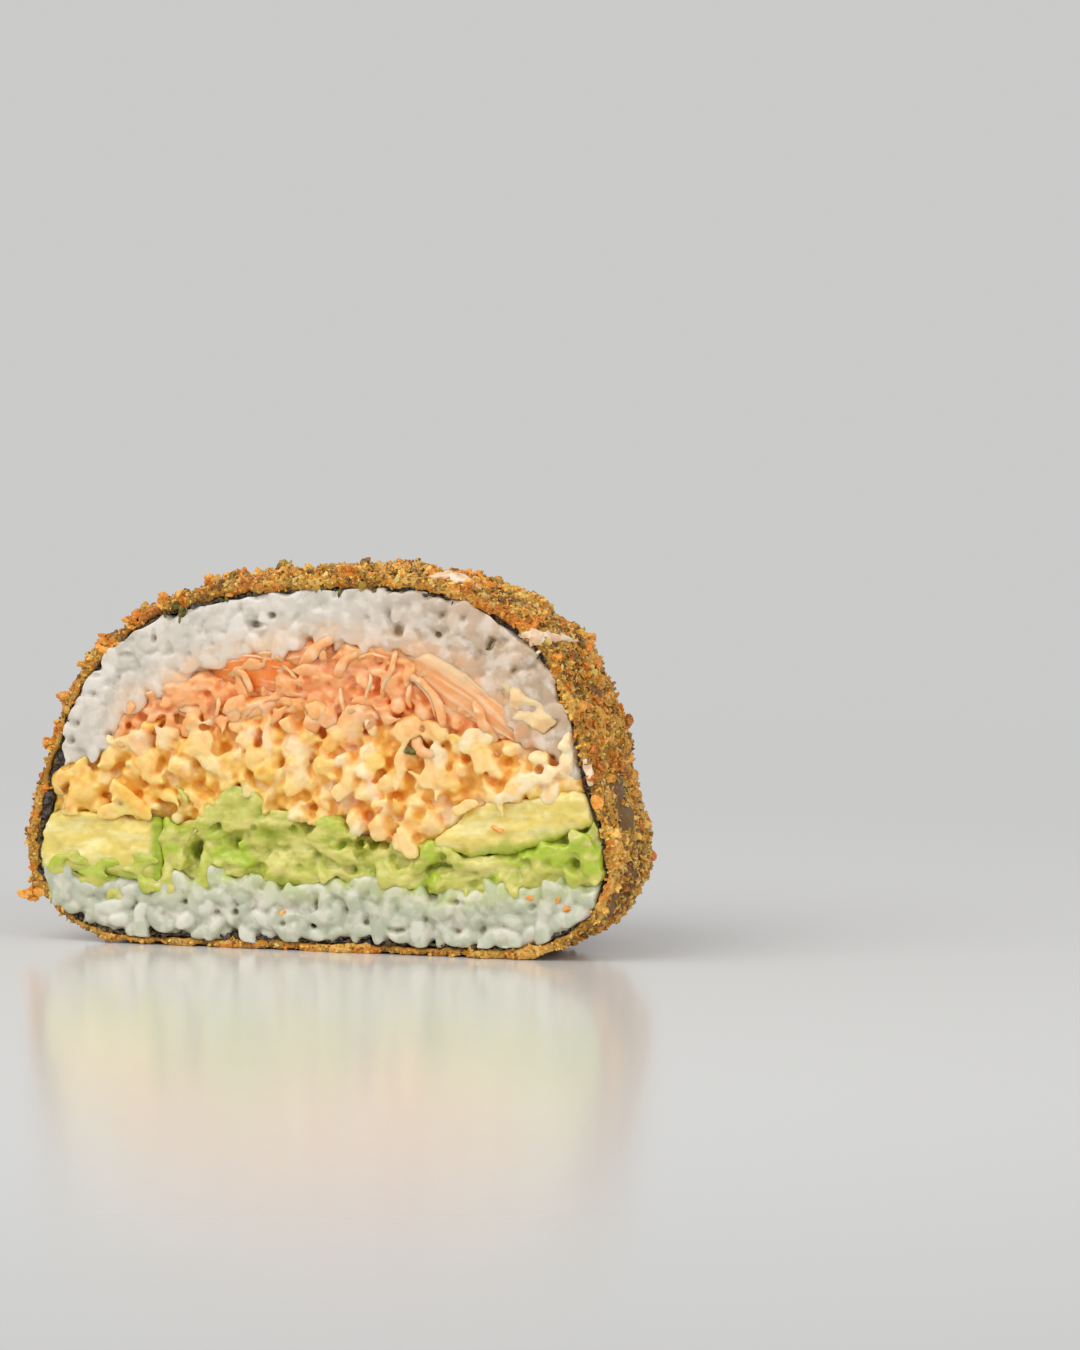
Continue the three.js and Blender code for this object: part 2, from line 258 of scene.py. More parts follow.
def fused(mesh, voxel, passes):
    """Melts a mesh into one skin of cells voxel mm wide, or leaves it for 0, and softens it in some passes."""
    obj = temporary(mesh)
    if voxel:
        skin = obj.modifiers.new("Skin", "REMESH")
        skin.mode, skin.voxel_size = "VOXEL", voxel * MM
    if passes:
        soften = obj.modifiers.new("Soften", "SMOOTH")
        soften.factor, soften.iterations = 0.5, passes
    return settled(obj)


def push(mesh, distance):
    """Moves the whole skin of a mesh out by a distance in mm, or in if it is negative."""
    move_points(mesh, points_of(mesh) + normals_of(mesh) * distance)


def gaps_closed(mesh, radius, voxel, passes):
    """Fills the gaps of a skin that are narrower than twice this radius, and softens it."""
    push(mesh, radius)
    mesh = fused(mesh, voxel, 1)
    push(mesh, -radius)
    return fused(mesh, 0, passes)


def skin_only(mesh):
    """Drops what lies behind the dressed skin, and closes the back."""
    bm = opened(mesh)
    cut_flat(bm, SKIN_BACK, False)
    return closed(mesh.name, bm)


def store(mesh, **layers):
    """Keeps numbers from 0 to 1 for each vertex, under their names."""
    for name, values in layers.items():
        values = np.clip(np.broadcast_to(values, len(mesh.vertices)), 0.0, 1.0).astype(np.float32)
        mesh.attributes.new(name, "FLOAT", "POINT").data.foreach_set("value", values)


def finished(name, mesh, material, nodes=(), smooth=True):
    """A piece of the object, in place, with its finish."""
    mesh.name = name
    mesh.materials.clear()
    mesh.materials.append(material)
    mesh.polygons.foreach_set("use_smooth", [smooth] * len(mesh.polygons))
    mesh.polygons.foreach_set("material_index", [0] * len(mesh.polygons))
    mesh.update()
    obj = bpy.data.objects.new(name, mesh)
    bpy.context.scene.collection.objects.link(obj)
    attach(obj, "root")
    if nodes:
        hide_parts(*nodes)
    return obj


# ---------------------------------------------------------------- the outline of the cut


def faces_of(node):
    """A search tree over the faces of a CAD node."""
    mesh = frame["nodes"][node].data
    return BVHTree.FromPolygons([v.co for v in mesh.vertices], [tuple(p.vertices) for p in mesh.polygons])


def spots_of(places):
    """A search tree over places."""
    tree = KDTree(len(places))
    for index, place in enumerate(places):
        tree.insert(place, index)
    tree.balance()
    return tree


def wrap_reach():
    """How far the filling reaches from the heart of the cut, for each angle, inside the seaweed."""
    tree = faces_of("nori_wrap")
    angles = np.linspace(-math.pi, math.pi, 721)
    reach = []
    start = Vector((0.0, (FACE + 2.0) * MM, HEART[2] * MM))
    for angle in angles:
        hit = tree.ray_cast(start, Vector((math.cos(angle), 0.0, math.sin(angle))))
        reach.append(hit[3] / MM if hit[0] is not None else reach[-1])
    return angles, np.array(reach)


WRAP_ANGLES, WRAP_REACH = wrap_reach()
RAGGED = 0.6  # how unevenly the filling meets the seaweed, in mm
OVERLAP = 0.8  # how far the filling hides the edge of the seaweed, in mm
FOLDS = (
    # start and end in degrees round the heart of the cut, and how much of the seaweed shows there, in mm
    (96, 140, 1.3),
    (36, 52, 1.5),
    (0, 36, 0.85),
    (338, 361, 0.8),
    (52, 96, 0.6),
    (140, 172, 0.4),
    (168, 182, 5.2),
    (182, 187, 1.8),
)
LEFT_SKIN = (184, 232, -0.6)  # where the filling bulges out to the very edge of the cut


def polar(points):
    """Reach and angle in degrees of each point round the heart of the cut."""
    side, up = points[:, 0] - HEART[0], points[:, 2] - HEART[2]
    return np.hypot(side, up), np.degrees(np.arctan2(up, side)) % 360.0


def from_heart(points, across=True):
    """The way from the heart of the cut to each point, with or without its part across the face."""
    rays = points - HEART
    rays[:, 1] *= across
    return rays / np.linalg.norm(rays, axis=1)[:, None]


def along(first, second):
    """How far two ways go the same way, from -1 to 1."""
    return np.einsum("ij,ij->i", first, second)


def window(angle, start, end):
    """1 between two angles, fading out over a few degrees at both ends."""
    return eased(angle, start - 3.0, start + 3.0) * (1.0 - eased(angle, end - 3.0, end + 3.0))


def fold_depth(points, angle):
    """How much of the seaweed shows at each point, in mm."""
    wave = 0.6 + 0.8 * lattice_noise(points, 4.0, 9)
    return sum(window(angle, start, end) * depth for start, end, depth in FOLDS) * np.clip(wave, 0.1, 1.3)


def inside_wrap(points, margin):
    """Presses points that reach past the inside of the seaweed back against it, a little unevenly."""
    reach, angle = polar(points)
    turn = np.radians((angle + 180.0) % 360.0 - 180.0)
    limit = np.interp(turn, WRAP_ANGLES, WRAP_REACH) - margin - fold_depth(points, angle)
    start, end, depth = LEFT_SKIN
    limit += OVERLAP - window(angle, start, end) * depth
    limit += RAGGED * lattice_noise(points * np.array([1.0, 0.3, 1.0]), 3.0, 5)
    share = np.minimum(1.0, limit / np.maximum(reach, 0.001))
    moved = HEART + (points - HEART) * share[:, None]
    moved[:, 1] = points[:, 1]
    return moved


def pressed(points, stand, firmness):
    """Flattens what stands further than this before the cut, as a knife does. Above 1 it undoes the same."""
    front = FACE - stand
    moved = points.copy()
    ahead = moved[:, 1] < front
    moved[ahead, 1] = front + (moved[ahead, 1] - front) * firmness
    return moved


def dented(points, dents):
    """Sinks small pits into a front. Each row is x, z, half width, half height and depth in mm."""
    moved = points.copy()
    for x, z, wide, high, depth in dents:
        away = np.hypot((points[:, 0] - x) / wide, (points[:, 2] - z) / high)
        away = away * (1.0 + 0.6 * lattice_noise(points, 1.1, 3)) + 0.15 * lattice_noise(points, 0.5, 4)
        moved[:, 1] += depth * (1.0 - eased(away, 0.3, 0.95)) * (points[:, 1] < FACE + 3.0)
    return moved


def flakes(points, size, turn, stretch, seed):
    """Broken flakes side by side: how high a point lies in its flake, 0 in a crack, and the flake's level and slope."""
    rng = np.random.default_rng(seed)
    cos, sin = math.cos(math.radians(turn)), math.sin(math.radians(turn))
    side, up = (points[:, k] + 0.3 * size * rough_noise(points, 0.8 * size, seed + k, 3, 0.6) for k in (0, 2))
    place = np.column_stack([(side * cos + up * sin) / stretch, up * cos - side * sin])
    line = np.arange(-90.0, 90.0, size)
    grid = np.stack(np.meshgrid(line, line), -1).reshape(-1, 2)
    grid = grid + rng.uniform(-0.5, 0.5, grid.shape) * size
    tree = spots_of([(a, b, 0.0) for a, b in grid])
    found = [tree.find_n((a, b, 0.0), 2) for a, b in place]
    own = np.array([pair[0][1] for pair in found])
    gap = np.array([pair[1][2] - pair[0][2] for pair in found])
    lean = rng.normal(0.0, 0.16, (len(grid), 2))[own]
    slope = (lean * (place - grid[own])).sum(axis=1)
    return eased(gap / size, 0.0, 0.28), rng.uniform(-1.0, 1.0, len(grid))[own], slope


def flaked_slab(source, look):
    """The front of a layer as a skin of broken flakes, large ones with smaller ones on them."""
    slab = fused(zone(source, 0.6, SLAB_BACK), look["voxel"], 0)
    push(slab, 0.4)
    points = points_of(slab)
    rise = np.zeros(len(points))
    for size, turn, stretch, deep, step in look["flakes"]:
        dome, level, slope = flakes(points, size, turn, stretch, look["seed"] + int(10 * size))
        rise += deep * (dome - 0.75) + step * level + slope
    points[:, 1] -= rise * (1.0 - eased(points[:, 1], FACE + 0.4, FACE + 2.4))
    move_points(slab, points)
    return slab


# The finishes paint the deep spots that this finds in darker colours: painted shade.
def hollows(points, reach, span):
    """From 0 on the highest spots to 1 in the deepest, against the mean front round each point."""
    cell = 0.35
    columns = np.floor((points[:, 0] + 62.0) / cell).astype(int)
    rows = np.floor((points[:, 2] + 4.0) / cell).astype(int)
    front = np.full((rows.max() + 2, columns.max() + 2), np.inf)
    np.minimum.at(front, (rows, columns), points[:, 1])
    known = np.isfinite(front).astype(float)
    height = np.where(known > 0.0, front, 0.0)
    half = 3 * int(reach / cell)
    kernel = np.exp(-0.5 * (np.arange(-half, half + 1) * cell / reach) ** 2)
    for axis in (0, 1):
        height = np.apply_along_axis(np.convolve, axis, height, kernel, "same")
        known = np.apply_along_axis(np.convolve, axis, known, kernel, "same")
    mean = height / np.maximum(known, 1e-6)
    return 0.5 + 0.5 * np.clip((points[:, 1] - mean[rows, columns]) / span, -1.0, 1.0)


def tones_from(source, points):
    """The tone of the bit that lies nearest to each point, and how far away it is in mm."""
    tree = spots_of([vertex.co for vertex in source.vertices])
    tone = np.zeros(len(source.vertices), np.float32)
    source.attributes["tone"].data.foreach_get("value", tone)
    near = [tree.find(point)[1:] for point in points * MM]
    return tone[[index for index, _ in near]], np.array([gap for _, gap in near]) / MM


def evened(mesh, values, passes):
    """Shares each value out among its neighbours a few times."""
    pairs = np.zeros(len(mesh.edges) * 2, np.int32)
    mesh.edges.foreach_get("vertices", pairs)
    pairs = pairs.reshape(-1, 2)
    ends = np.vstack([pairs, pairs[:, ::-1]])
    count = np.bincount(ends[:, 0], minlength=len(values)) + 1.0
    for _ in range(passes):
        values = (values + np.bincount(ends[:, 0], values[ends[:, 1]], len(values))) / count
    return values


def closeness(points, source, reach):
    """1 where a point touches a CAD node and 0 where it is further away than reach, in mm."""
    tree = faces_of(source)
    gaps = [tree.find_nearest(point)[3] for point in points * MM]
    return 1.0 - eased(np.array(gaps) / MM, 0.0, reach)


# ---------------------------------------------------------------- single shapes


def ball(detail):
    """The points and faces of a round ball."""
    bm = bmesh.new()
    bmesh.ops.create_icosphere(bm, subdivisions=detail, radius=1.0)
    points = np.array([v.co[:] for v in bm.verts])
    faces = [[v.index for v in f.verts] for f in bm.faces]
    bm.free()
    return points, faces


def grain_shape(rng, length, width):
    """A cooked grain of rice, lying along x."""
    points, faces = ball(3)
    x, y, z = points.T
    taper = 1.0 - 0.18 * x * rng.uniform(-1.0, 1.0)
    bend = rng.uniform(0.05, 0.22)
    side = y * taper * width / 2.0 + bend * length * (x**2 - 0.4)
    return np.column_stack([x * length / 2.0, side, z * taper * width * rng.uniform(0.40, 0.5)]), faces


def chunk_shape(rng, length, width, height, facets):
    """A torn lump with flat sides."""
    points, faces = ball(3)
    for _ in range(facets):
        way = rng.normal(size=3)
        way /= np.linalg.norm(way)
        over = np.maximum(points @ way - rng.uniform(0.45, 0.8), 0.0)
        points = points - over[:, None] * way
    points = points * (1.0 + 0.22 * rough_noise(points, 0.8, int(rng.integers(9999)))[:, None])
    return points * np.array([length, width, height]) / 2.0, faces


def shred_shape(rng, length, width):
    """A thin bent thread of flesh, lying along x."""
    points, faces = ball(3)
    x, y, z = points.T
    bend, twist = rng.uniform(-0.3, 0.3), rng.uniform(-0.25, 0.25)
    thin = 0.75 + 0.25 * np.cos(x * rng.uniform(2.0, 5.0))
    side = y * thin * width / 2.0 + bend * length * x**2
    return np.column_stack([x * length / 2.0, side, z * thin * width * 0.4 + twist * length * x**3]), faces


def crumb_shape(rng, detail, rough, flat):
    """A jagged fried crumb about 1 mm across, longer than it is thick."""
    points, faces = ball(detail)
    size = rng.uniform(1.0 - rough, 1.0 + rough, len(points))
    lean = rng.uniform(-0.4, 0.4)
    made = points * size[:, None] * np.array([1.15, rng.uniform(0.6, 0.95), rng.uniform(*flat)]) / 2.0
    made[:, 1] += lean * made[:, 0] ** 2
    return made, faces


def smooth_path(path, count):
    """Points on a smooth curve through the path, evenly shared out between its points."""
    path = np.asarray(path, float)
    padded = np.vstack([2 * path[0] - path[1], path, 2 * path[-1] - path[-2]])
    made = []
    for spot in np.linspace(0.0, len(path) - 1.0, count):
        start = min(int(spot), len(path) - 2)
        share = spot - start
        before, first, second, after = padded[start : start + 4]
        bend = 2.0 * before - 5.0 * first + 4.0 * second - after
        twist = 3.0 * first - before - 3.0 * second + after
        made.append(0.5 * (2.0 * first + (second - before) * share + bend * share**2 + twist * share**3))
    return np.array(made)


def ribbon(path, count, sides, blunt):
    """A closed soft strip. Each path point is x, depth, z, half width, half thickness and roll in degrees."""
    line = smooth_path(path, count)
    middle = np.column_stack([line[:, 0], FACE + line[:, 1], line[:, 2]])
    ahead = np.gradient(middle, axis=0)
    ahead /= np.linalg.norm(ahead, axis=1)[:, None]
    across = np.cross(ahead, np.array([0.0, -1.0, 0.0]))
    across /= np.maximum(np.linalg.norm(across, axis=1), 1e-6)[:, None]
    out = np.cross(across, ahead)
    roll = np.radians(line[:, 5])[:, None]
    wide = across * np.cos(roll) + out * np.sin(roll)
    deep = out * np.cos(roll) - across * np.sin(roll)
    share = np.linspace(0.0, 1.0, count)
    end = np.minimum(np.minimum(share, 1.0 - share) / blunt, 1.0)
    swell = np.sqrt(np.clip(1.0 - (1.0 - end) ** 2, 0.0, 1.0)) * 0.98 + 0.02
    turn = np.linspace(0.0, 2.0 * math.pi, sides, endpoint=False)
    side, lift = (np.sign(wave) * np.abs(wave) ** 0.8 for wave in (np.cos(turn), np.sin(turn)))
    rings = [
        middle[i] + np.outer(side * line[i, 3] * swell[i], wide[i]) + np.outer(lift * line[i, 4] * swell[i], deep[i])
        for i in range(count)
    ]
    faces = [list(range(sides))[::-1], [(count - 1) * sides + j for j in range(sides)]]
    for i in range(0, (count - 1) * sides, sides):
        for j in range(sides):
            k = (j + 1) % sides
            faces.append([i + j, i + k, i + sides + k, i + sides + j])
    return np.vstack(rings), faces, np.repeat(share, sides), np.tile(side, count)


# ---------------------------------------------------------------- node trees

GREY = (0.5, 0.5, 0.5, 1.0)
SCATTER_INPUTS = {
    "Geometry": "Geometry", "Shapes": "Collection", "Finish": "Material", "Spacing": "Float", "Amount": "Float",
    "Smallest": "Float", "Largest": "Float", "Small Share": "Float", "Deepest": "Float", "Highest": "Float",
    "Tilt": "Float", "Clumping": "Float", "Clump Scale": "Float", "Seed": "Int",
}  # fmt: skip
RANDOM_SOCKETS = {"FLOAT_VECTOR": (0, 0), "FLOAT": (2, 1), "INT": (4, 2)}  # first input and output of each kind


class Nodes:
    """A node tree that is being built. where is the place on the object."""

    def __init__(self, tree, where=None):
        self.tree, self.where = tree, where

    def add(self, kind, inputs=None, **settings):
        """Adds a node, changes its settings and fills or joins its inputs. Returns its outputs."""
        made = self.tree.nodes.new(kind)
        for key, value in settings.items():
            setattr(made, key, value)
        for key, value in (inputs or {}).items():
            socket = made.inputs[key]
            if isinstance(value, bpy.types.NodeSocket):
                self.tree.links.new(value, socket)
            elif socket.type == "RGBA":
                socket.default_value = (*value[:3], 1.0)
            else:
                socket.default_value = value
        return made.outputs

    def random(self, low, high, seed, kind="FLOAT"):
        """A random value for each point."""
        first, output = RANDOM_SOCKETS[kind]
        inputs = {first: low, first + 1: high, "Seed": seed}
        return self.add("FunctionNodeRandomValue", inputs, data_type=kind)[output]

    def maths(self, kind, first, second):
        """A sum, a product or the like of two values."""
        return self.add("ShaderNodeMath", {0: first, 1: second}, operation=kind)[0]

    def times(self, first, second):
        """The product of two values."""
        return self.maths("MULTIPLY", first, second)

    def noise(self, size, detail=3.0, roughness=0.5, stretch=None):
        """Noise with bumps about size mm across, as a value from 0 to 1."""
        where = self.add("ShaderNodeMapping", {"Vector": self.where, "Scale": stretch})[0] if stretch else self.where
        inputs = {"Vector": where, "Scale": 1.0 / (size * MM), "Detail": detail, "Roughness": roughness}
        return self.add("ShaderNodeTexNoise", inputs)[0]

    def ramp(self, value, low, high, start=0.0, end=1.0):
        """Maps a value between low and high onto start to end, with soft ends."""
        inputs = {"Value": value, 1: low, 2: high, 3: start, 4: end}
        return self.add("ShaderNodeMapRange", inputs, interpolation_type="SMOOTHSTEP")[0]

    def patches(self, size, low, high, amount=1.0, **shape):
        """Patches about size mm across, that count for this amount."""
        return self.ramp(self.noise(size, **shape), low, high, 0.0, amount)

    def mix(self, share, first, second, kind="MIX"):
        """Mixes two colours."""
        return self.add("ShaderNodeMix", {0: share, 6: first, 7: second}, data_type="RGBA", blend_type=kind)[2]

    def group(self, name, **inputs):
        """Places one of the shader groups below."""
        named = {key.replace("_", " "): value for key, value in inputs.items()}
        return self.add("ShaderNodeGroup", {"Vector": self.where, **named}, node_tree=shader_group(name))


# fmt: off
def scatter_tree():
    """Geometry nodes that strew a family of shapes over a surface."""
    tree = bpy.data.node_groups.new("Strewn Bits", "GeometryNodeTree")
    tree.interface.new_socket("Geometry", in_out="OUTPUT", socket_type="NodeSocketGeometry")
    for name, kind in SCATTER_INPUTS.items():
        tree.interface.new_socket(name, in_out="INPUT", socket_type="NodeSocket" + kind)
    nodes = Nodes(tree)
    start = nodes.add("NodeGroupInput")
    clump = nodes.add("ShaderNodeTexNoise", {"Scale": start["Clump Scale"], "Detail": 1.0})[0]
    patchy = nodes.add("ShaderNodeMapRange", {"Value": clump, "From Min": 0.42, "From Max": 0.60})[0]
    share = nodes.add("ShaderNodeMix", {"Factor": start["Clumping"], 2: 1.0, 3: patchy}, data_type="FLOAT")[0]
    spread = nodes.add("GeometryNodeDistributePointsOnFaces", {
        "Mesh": start["Geometry"], "Distance Min": start["Spacing"], "Density Max": start["Amount"],
        "Density Factor": share, "Seed": start["Seed"],
    }, distribute_method="POISSON")
    lift = nodes.random(start["Deepest"], start["Highest"], 11)
    offset = nodes.add("ShaderNodeVectorMath", {0: spread["Normal"], "Scale": lift}, operation="SCALE")[0]
    placed = nodes.add("GeometryNodeSetPosition", {"Geometry": spread["Points"], "Offset": offset})[0]
    bias = nodes.maths("POWER", nodes.random(0.0, 1.0, 12), start["Small Share"])
    size = nodes.add("ShaderNodeMapRange", {
        "Value": bias, "To Min": start["Smallest"], "To Max": start["Largest"],
    })[0]
    back = nodes.times(start["Tilt"], -1.0)
    low = nodes.add("ShaderNodeCombineXYZ", {"X": back, "Y": back, "Z": 0.0})[0]
    high = nodes.add("ShaderNodeCombineXYZ", {"X": start["Tilt"], "Y": start["Tilt"], "Z": 2.0 * math.pi})[0]
    turn = nodes.add("FunctionNodeEulerToRotation", {0: nodes.random(low, high, 13, "FLOAT_VECTOR")})[0]
    turned = nodes.add("FunctionNodeRotateRotation", {
        "Rotation": spread["Rotation"], "Rotate By": turn,
    }, rotation_space="LOCAL")[0]
    family = nodes.add("GeometryNodeCollectionInfo", {
        "Collection": start["Shapes"], "Separate Children": True, "Reset Children": True,
    })[0]
    bits = nodes.add("GeometryNodeInstanceOnPoints", {
        "Points": placed, "Instance": family, "Pick Instance": True,
        "Instance Index": nodes.random(0, 1000, 14, "INT"), "Rotation": turned, "Scale": size,
    })[0]
    toned = nodes.add("GeometryNodeStoreNamedAttribute", {
        "Geometry": bits, "Name": "tone", "Value": nodes.random(0.0, 1.0, 15),
    }, data_type="FLOAT", domain="INSTANCE")[0]
    real = nodes.add("GeometryNodeRealizeInstances", {"Geometry": toned})[0]
    ready = nodes.add("GeometryNodeSetMaterial", {"Geometry": real, "Material": start["Finish"]})[0]
    nodes.add("NodeGroupOutput", {"Geometry": ready})
    return tree
# fmt: on


def strewn(surface, shapes, material, spacing, sizes, lift, seed, tilt=180.0, bias=1.0, clumping=0.0, clump=8.0):
    """Strews shapes over a surface with the tree above. Lengths are in mm."""
    tree = bpy.data.node_groups.get("Strewn Bits") or scatter_tree()
    family = bpy.data.collections.new("Shapes")
    for number, (points, faces) in enumerate(shapes):
        name = f"shape_{number:02d}"
        family.objects.link(bpy.data.objects.new(name, mesh_of(name, points, faces)))
    given = {
        "Shapes": family,
        "Finish": material,
        "Spacing": spacing * MM,
        "Amount": 1.0 / (0.5 * spacing * MM) ** 2,
        "Smallest": float(sizes[0]),
        "Largest": float(sizes[1]),
        "Small Share": float(bias),
        "Deepest": lift[0] * MM,
        "Highest": lift[1] * MM,
        "Tilt": math.radians(tilt),
        "Clumping": float(clumping),
        "Clump Scale": 1.0 / (clump * MM),
        "Seed": int(seed),
    }
    obj = temporary(surface.copy())
    spread = obj.modifiers.new("Strewn", "NODES")
    spread.node_group = tree
    for item in tree.interface.items_tree:
        if item.in_out == "INPUT" and item.name in given:
            spread[item.identifier] = given[item.name]
    made = settled(obj)
    for member in list(family.objects):
        bpy.data.objects.remove(member)
    bpy.data.collections.remove(family)
    if not made.vertices:
        raise RuntimeError("nothing was strewn")
    return made


def bits_on(material, seed, *rows):
    """Strews several rows of bits into one mesh. Each row is a surface, shapes, spacing, sizes, lift and tilt."""
    made = [strewn(*row[:2], material, *row[2:5], seed + number, row[5]) for number, row in enumerate(rows)]
    return joined("bits", *made)


def band(upper, lower):
    """A strip a little behind the face between two lines of x and z."""
    count = 40
    points = np.vstack([smooth_path([(x, 0.0, z) for x, z in line], count) for line in (upper, lower)])
    points[:, 1] = FACE + 2.4
    faces = [[i, i + count, i + count + 1, i + 1] for i in range(count - 1)]
    return to_viewer("band", opened(mesh_of("band", points, faces)))


def single_lumps(rows, seed, jagged=0.0):
    """Lumps at set places. Each row is x, depth, z, length, width, height, turn in degrees and tone."""
    rng = np.random.default_rng(seed)
    made = []
    for x, depth, z, long, wide, high, turn, tone in rows:
        points, faces = chunk_shape(rng, long, high, wide, 5)
        points = points * (1.0 + jagged * rough_noise(points, 0.9, int(rng.integers(9999)), 2))[:, None]
        cos, sin = math.cos(math.radians(turn)), math.sin(math.radians(turn))
        side, ahead, up = points.T
        points = np.column_stack([x + side * cos - up * sin, ahead + FACE + depth, z + side * sin + up * cos])
        made.append(mesh_of("lump", points, faces))
        store(made[-1], tone=tone)
    return joined("lumps", *made)


def layered_colour(nodes, given):
    """Three colours by how deep a spot lies: the deeper spots are darker, which is painted shade."""
    wobble = nodes.times(nodes.maths("SUBTRACT", nodes.noise(1.6), 0.5), 0.35)
    depth = nodes.maths("ADD", given["Hollow"], wobble)
    colour = nodes.mix(nodes.ramp(depth, 0.40, 0.72), given["Raised"], given["Sunken"])
    return [nodes.mix(nodes.ramp(depth, 0.78, 1.02), colour, given["Pit"])]


def moist_relief(nodes, given):
    """Fine wet relief, and a mask of where it shines."""
    inputs = {"Vector": nodes.where, "Scale": given["Scale"], "Detail": 4.0, "Roughness": 0.6}
    return nodes.add("ShaderNodeTexNoise", inputs)[0], nodes.patches(3.5, 0.35, 0.65, detail=2.0)


def fried_colour(nodes, given):
    """Fried batter: fine grain of three browns, with patches that took more colour."""
    grain = nodes.noise(0.5, 3.0, 0.7)
    level = nodes.maths("ADD", nodes.times(grain, 0.8), nodes.times(given["Tone"], 0.5))
    low = nodes.ramp(level, 0.38, 0.60)
    colour = nodes.mix(low, given["Dark"], given["Body"])
    colour = nodes.mix(nodes.ramp(level, 0.60, 0.88), colour, given["Light"])
    patch = nodes.times(nodes.patches(5.0, 0.54, 0.60, roughness=0.6), given["Patches"])
    colour = nodes.mix(patch, colour, nodes.mix(low, linear(152, 82, 8), given["Browned"]))
    return colour, nodes.maths("ADD", grain, nodes.times(nodes.noise(0.28, 1.0), 0.4))


SHADER_GROUPS = {
    # what builds the group, its numbers, its colours and its outputs
    # Lumpy Food paints shade: deeper spots turn from the raised colour to the darker sunken and pit colours.
    "Lumpy Food": (layered_colour, {"Hollow": 0.5}, ("Raised", "Sunken", "Pit"), ("Colour",)),
    "Moist Skin": (moist_relief, {"Scale": 1500.0}, (), ("Height", "Wet")),
    "Fried Batter": (
        fried_colour, {"Tone": 0.5, "Patches": 0.5}, ("Dark", "Body", "Light", "Browned"), ("Colour", "Height"),
    ),
}  # fmt: skip


def shader_group(name):
    """One of the shader groups above, made when it is first asked for."""
    found = bpy.data.node_groups.get(name)
    if found:
        return found
    build, numbers, colours, results = SHADER_GROUPS[name]
    tree = bpy.data.node_groups.new(name, "ShaderNodeTree")
    tree.interface.new_socket("Vector", in_out="INPUT", socket_type="NodeSocketVector")
    for label, level in numbers.items():
        tree.interface.new_socket(label, in_out="INPUT", socket_type="NodeSocketFloat").default_value = level
    for label in colours:
        tree.interface.new_socket(label, in_out="INPUT", socket_type="NodeSocketColor").default_value = GREY
    for label in results:
        kind = "NodeSocketColor" if label == "Colour" else "NodeSocketFloat"
        tree.interface.new_socket(label, in_out="OUTPUT", socket_type=kind)
    nodes = Nodes(tree)
    given = nodes.add("NodeGroupInput")
    nodes.where = given["Vector"]
    nodes.add("NodeGroupOutput", dict(zip(results, build(nodes, given))))
    return tree


class Finish(Nodes):
    """A material that is being made, with a Principled shader and the colour that it has so far."""

    def __init__(self, name):
        self.material = bpy.data.materials.new(name)
        self.material.use_nodes = True
        self.material.node_tree.nodes.clear()
        super().__init__(self.material.node_tree)
        self.shader = self.tree.nodes.new("ShaderNodeBsdfPrincipled")
        self.add("ShaderNodeOutputMaterial", {"Surface": self.shader.outputs[0]})
        self.where = self.add("ShaderNodeTexCoord")["Object"]

    def attribute(self, name):
        """A number that the mesh holds for each vertex."""
        return self.add("ShaderNodeAttribute", attribute_name=name)["Fac"]

    def place(self, axis, low, high, amount=1.0):
        """How far along an axis of the object a spot lies, between two places in m."""
        return self.ramp(self.add("ShaderNodeSeparateXYZ", {0: self.where})[axis], low, high, 0.0, amount)

    def lumpy(self, raised, sunken, pit):
        """Starts with the colours of a lumpy food, darker in its deep places: painted shade."""
        hollow = self.attribute("hollow")
        self.colour = self.group("Lumpy Food", Hollow=hollow, Raised=raised, Sunken=sunken, Pit=pit)["Colour"]

    def tint(self, share, colour, kind="MIX"):
        """Mixes another colour into the one so far."""
        self.colour = self.mix(share, self.colour, colour, kind)

    def shade(self, roughness, height, depth, **values):
        """Joins the colour, a roughness and a fine relief of this depth in mm to the shader."""
        bump = self.add("ShaderNodeBump", {"Height": height, "Distance": depth * MM, "Strength": 0.8})[0]
        for key, value in {"Base_Color": self.colour, "Normal": bump, "Roughness": roughness, **values}.items():
            socket = self.shader.inputs[key.replace("_", " ")]
            if isinstance(value, bpy.types.NodeSocket):
                self.tree.links.new(value, socket)
            else:
                socket.default_value = value
        return self.material

    def moist(self, scale, dry, wet, depth, coat, coat_roughness, ior=1.40, **values):
        """Ends with a moist skin, whose roughness lies between these two."""
        skin = self.group("Moist Skin", Scale=scale)
        rough = self.ramp(skin["Wet"], 0.0, 1.0, dry, wet)
        coated = {"IOR": ior, "Coat_Weight": coat, "Coat_Roughness": coat_roughness}
        return self.shade(rough, skin["Height"], depth, **coated, **values)


def fleshy(weight, reach, *colour):
    """Settings for light that goes into the food and comes out a little further on. reach is in mm."""
    return {"Subsurface_Weight": weight, "Subsurface_Scale": reach * MM, "Subsurface_Radius": colour}


# ---------------------------------------------------------------- sizes and colours that a user may change


def length(mm, text):
    """A length that is given in mm."""
    return bpy.props.FloatProperty(name=text, default=mm * MM, min=0.0, precision=5, unit="LENGTH")


def power(watts, text):
    """The power of a light."""
    return bpy.props.FloatProperty(name=text, default=watts, min=0.0, unit="POWER")


def colour(levels, text):
    """A colour that is given in levels from 0 to 255."""
    return bpy.props.FloatVectorProperty(
        name=text, default=linear(*levels), size=3, min=0.0, max=1.0, subtype="COLOR"
    )


class SushiStageSettings(bpy.types.PropertyGroup):
    """The floor, the backdrop and the lights."""

    backdrop: colour((203, 203, 202), "Backdrop")
    floor: colour((228, 227, 224), "Table")
    floor_reach: length(520.0, "How far the table is seen before it fades")
    key_power: power(14.5, "Large soft light")
    fill_power: power(7.0, "Light from the right")


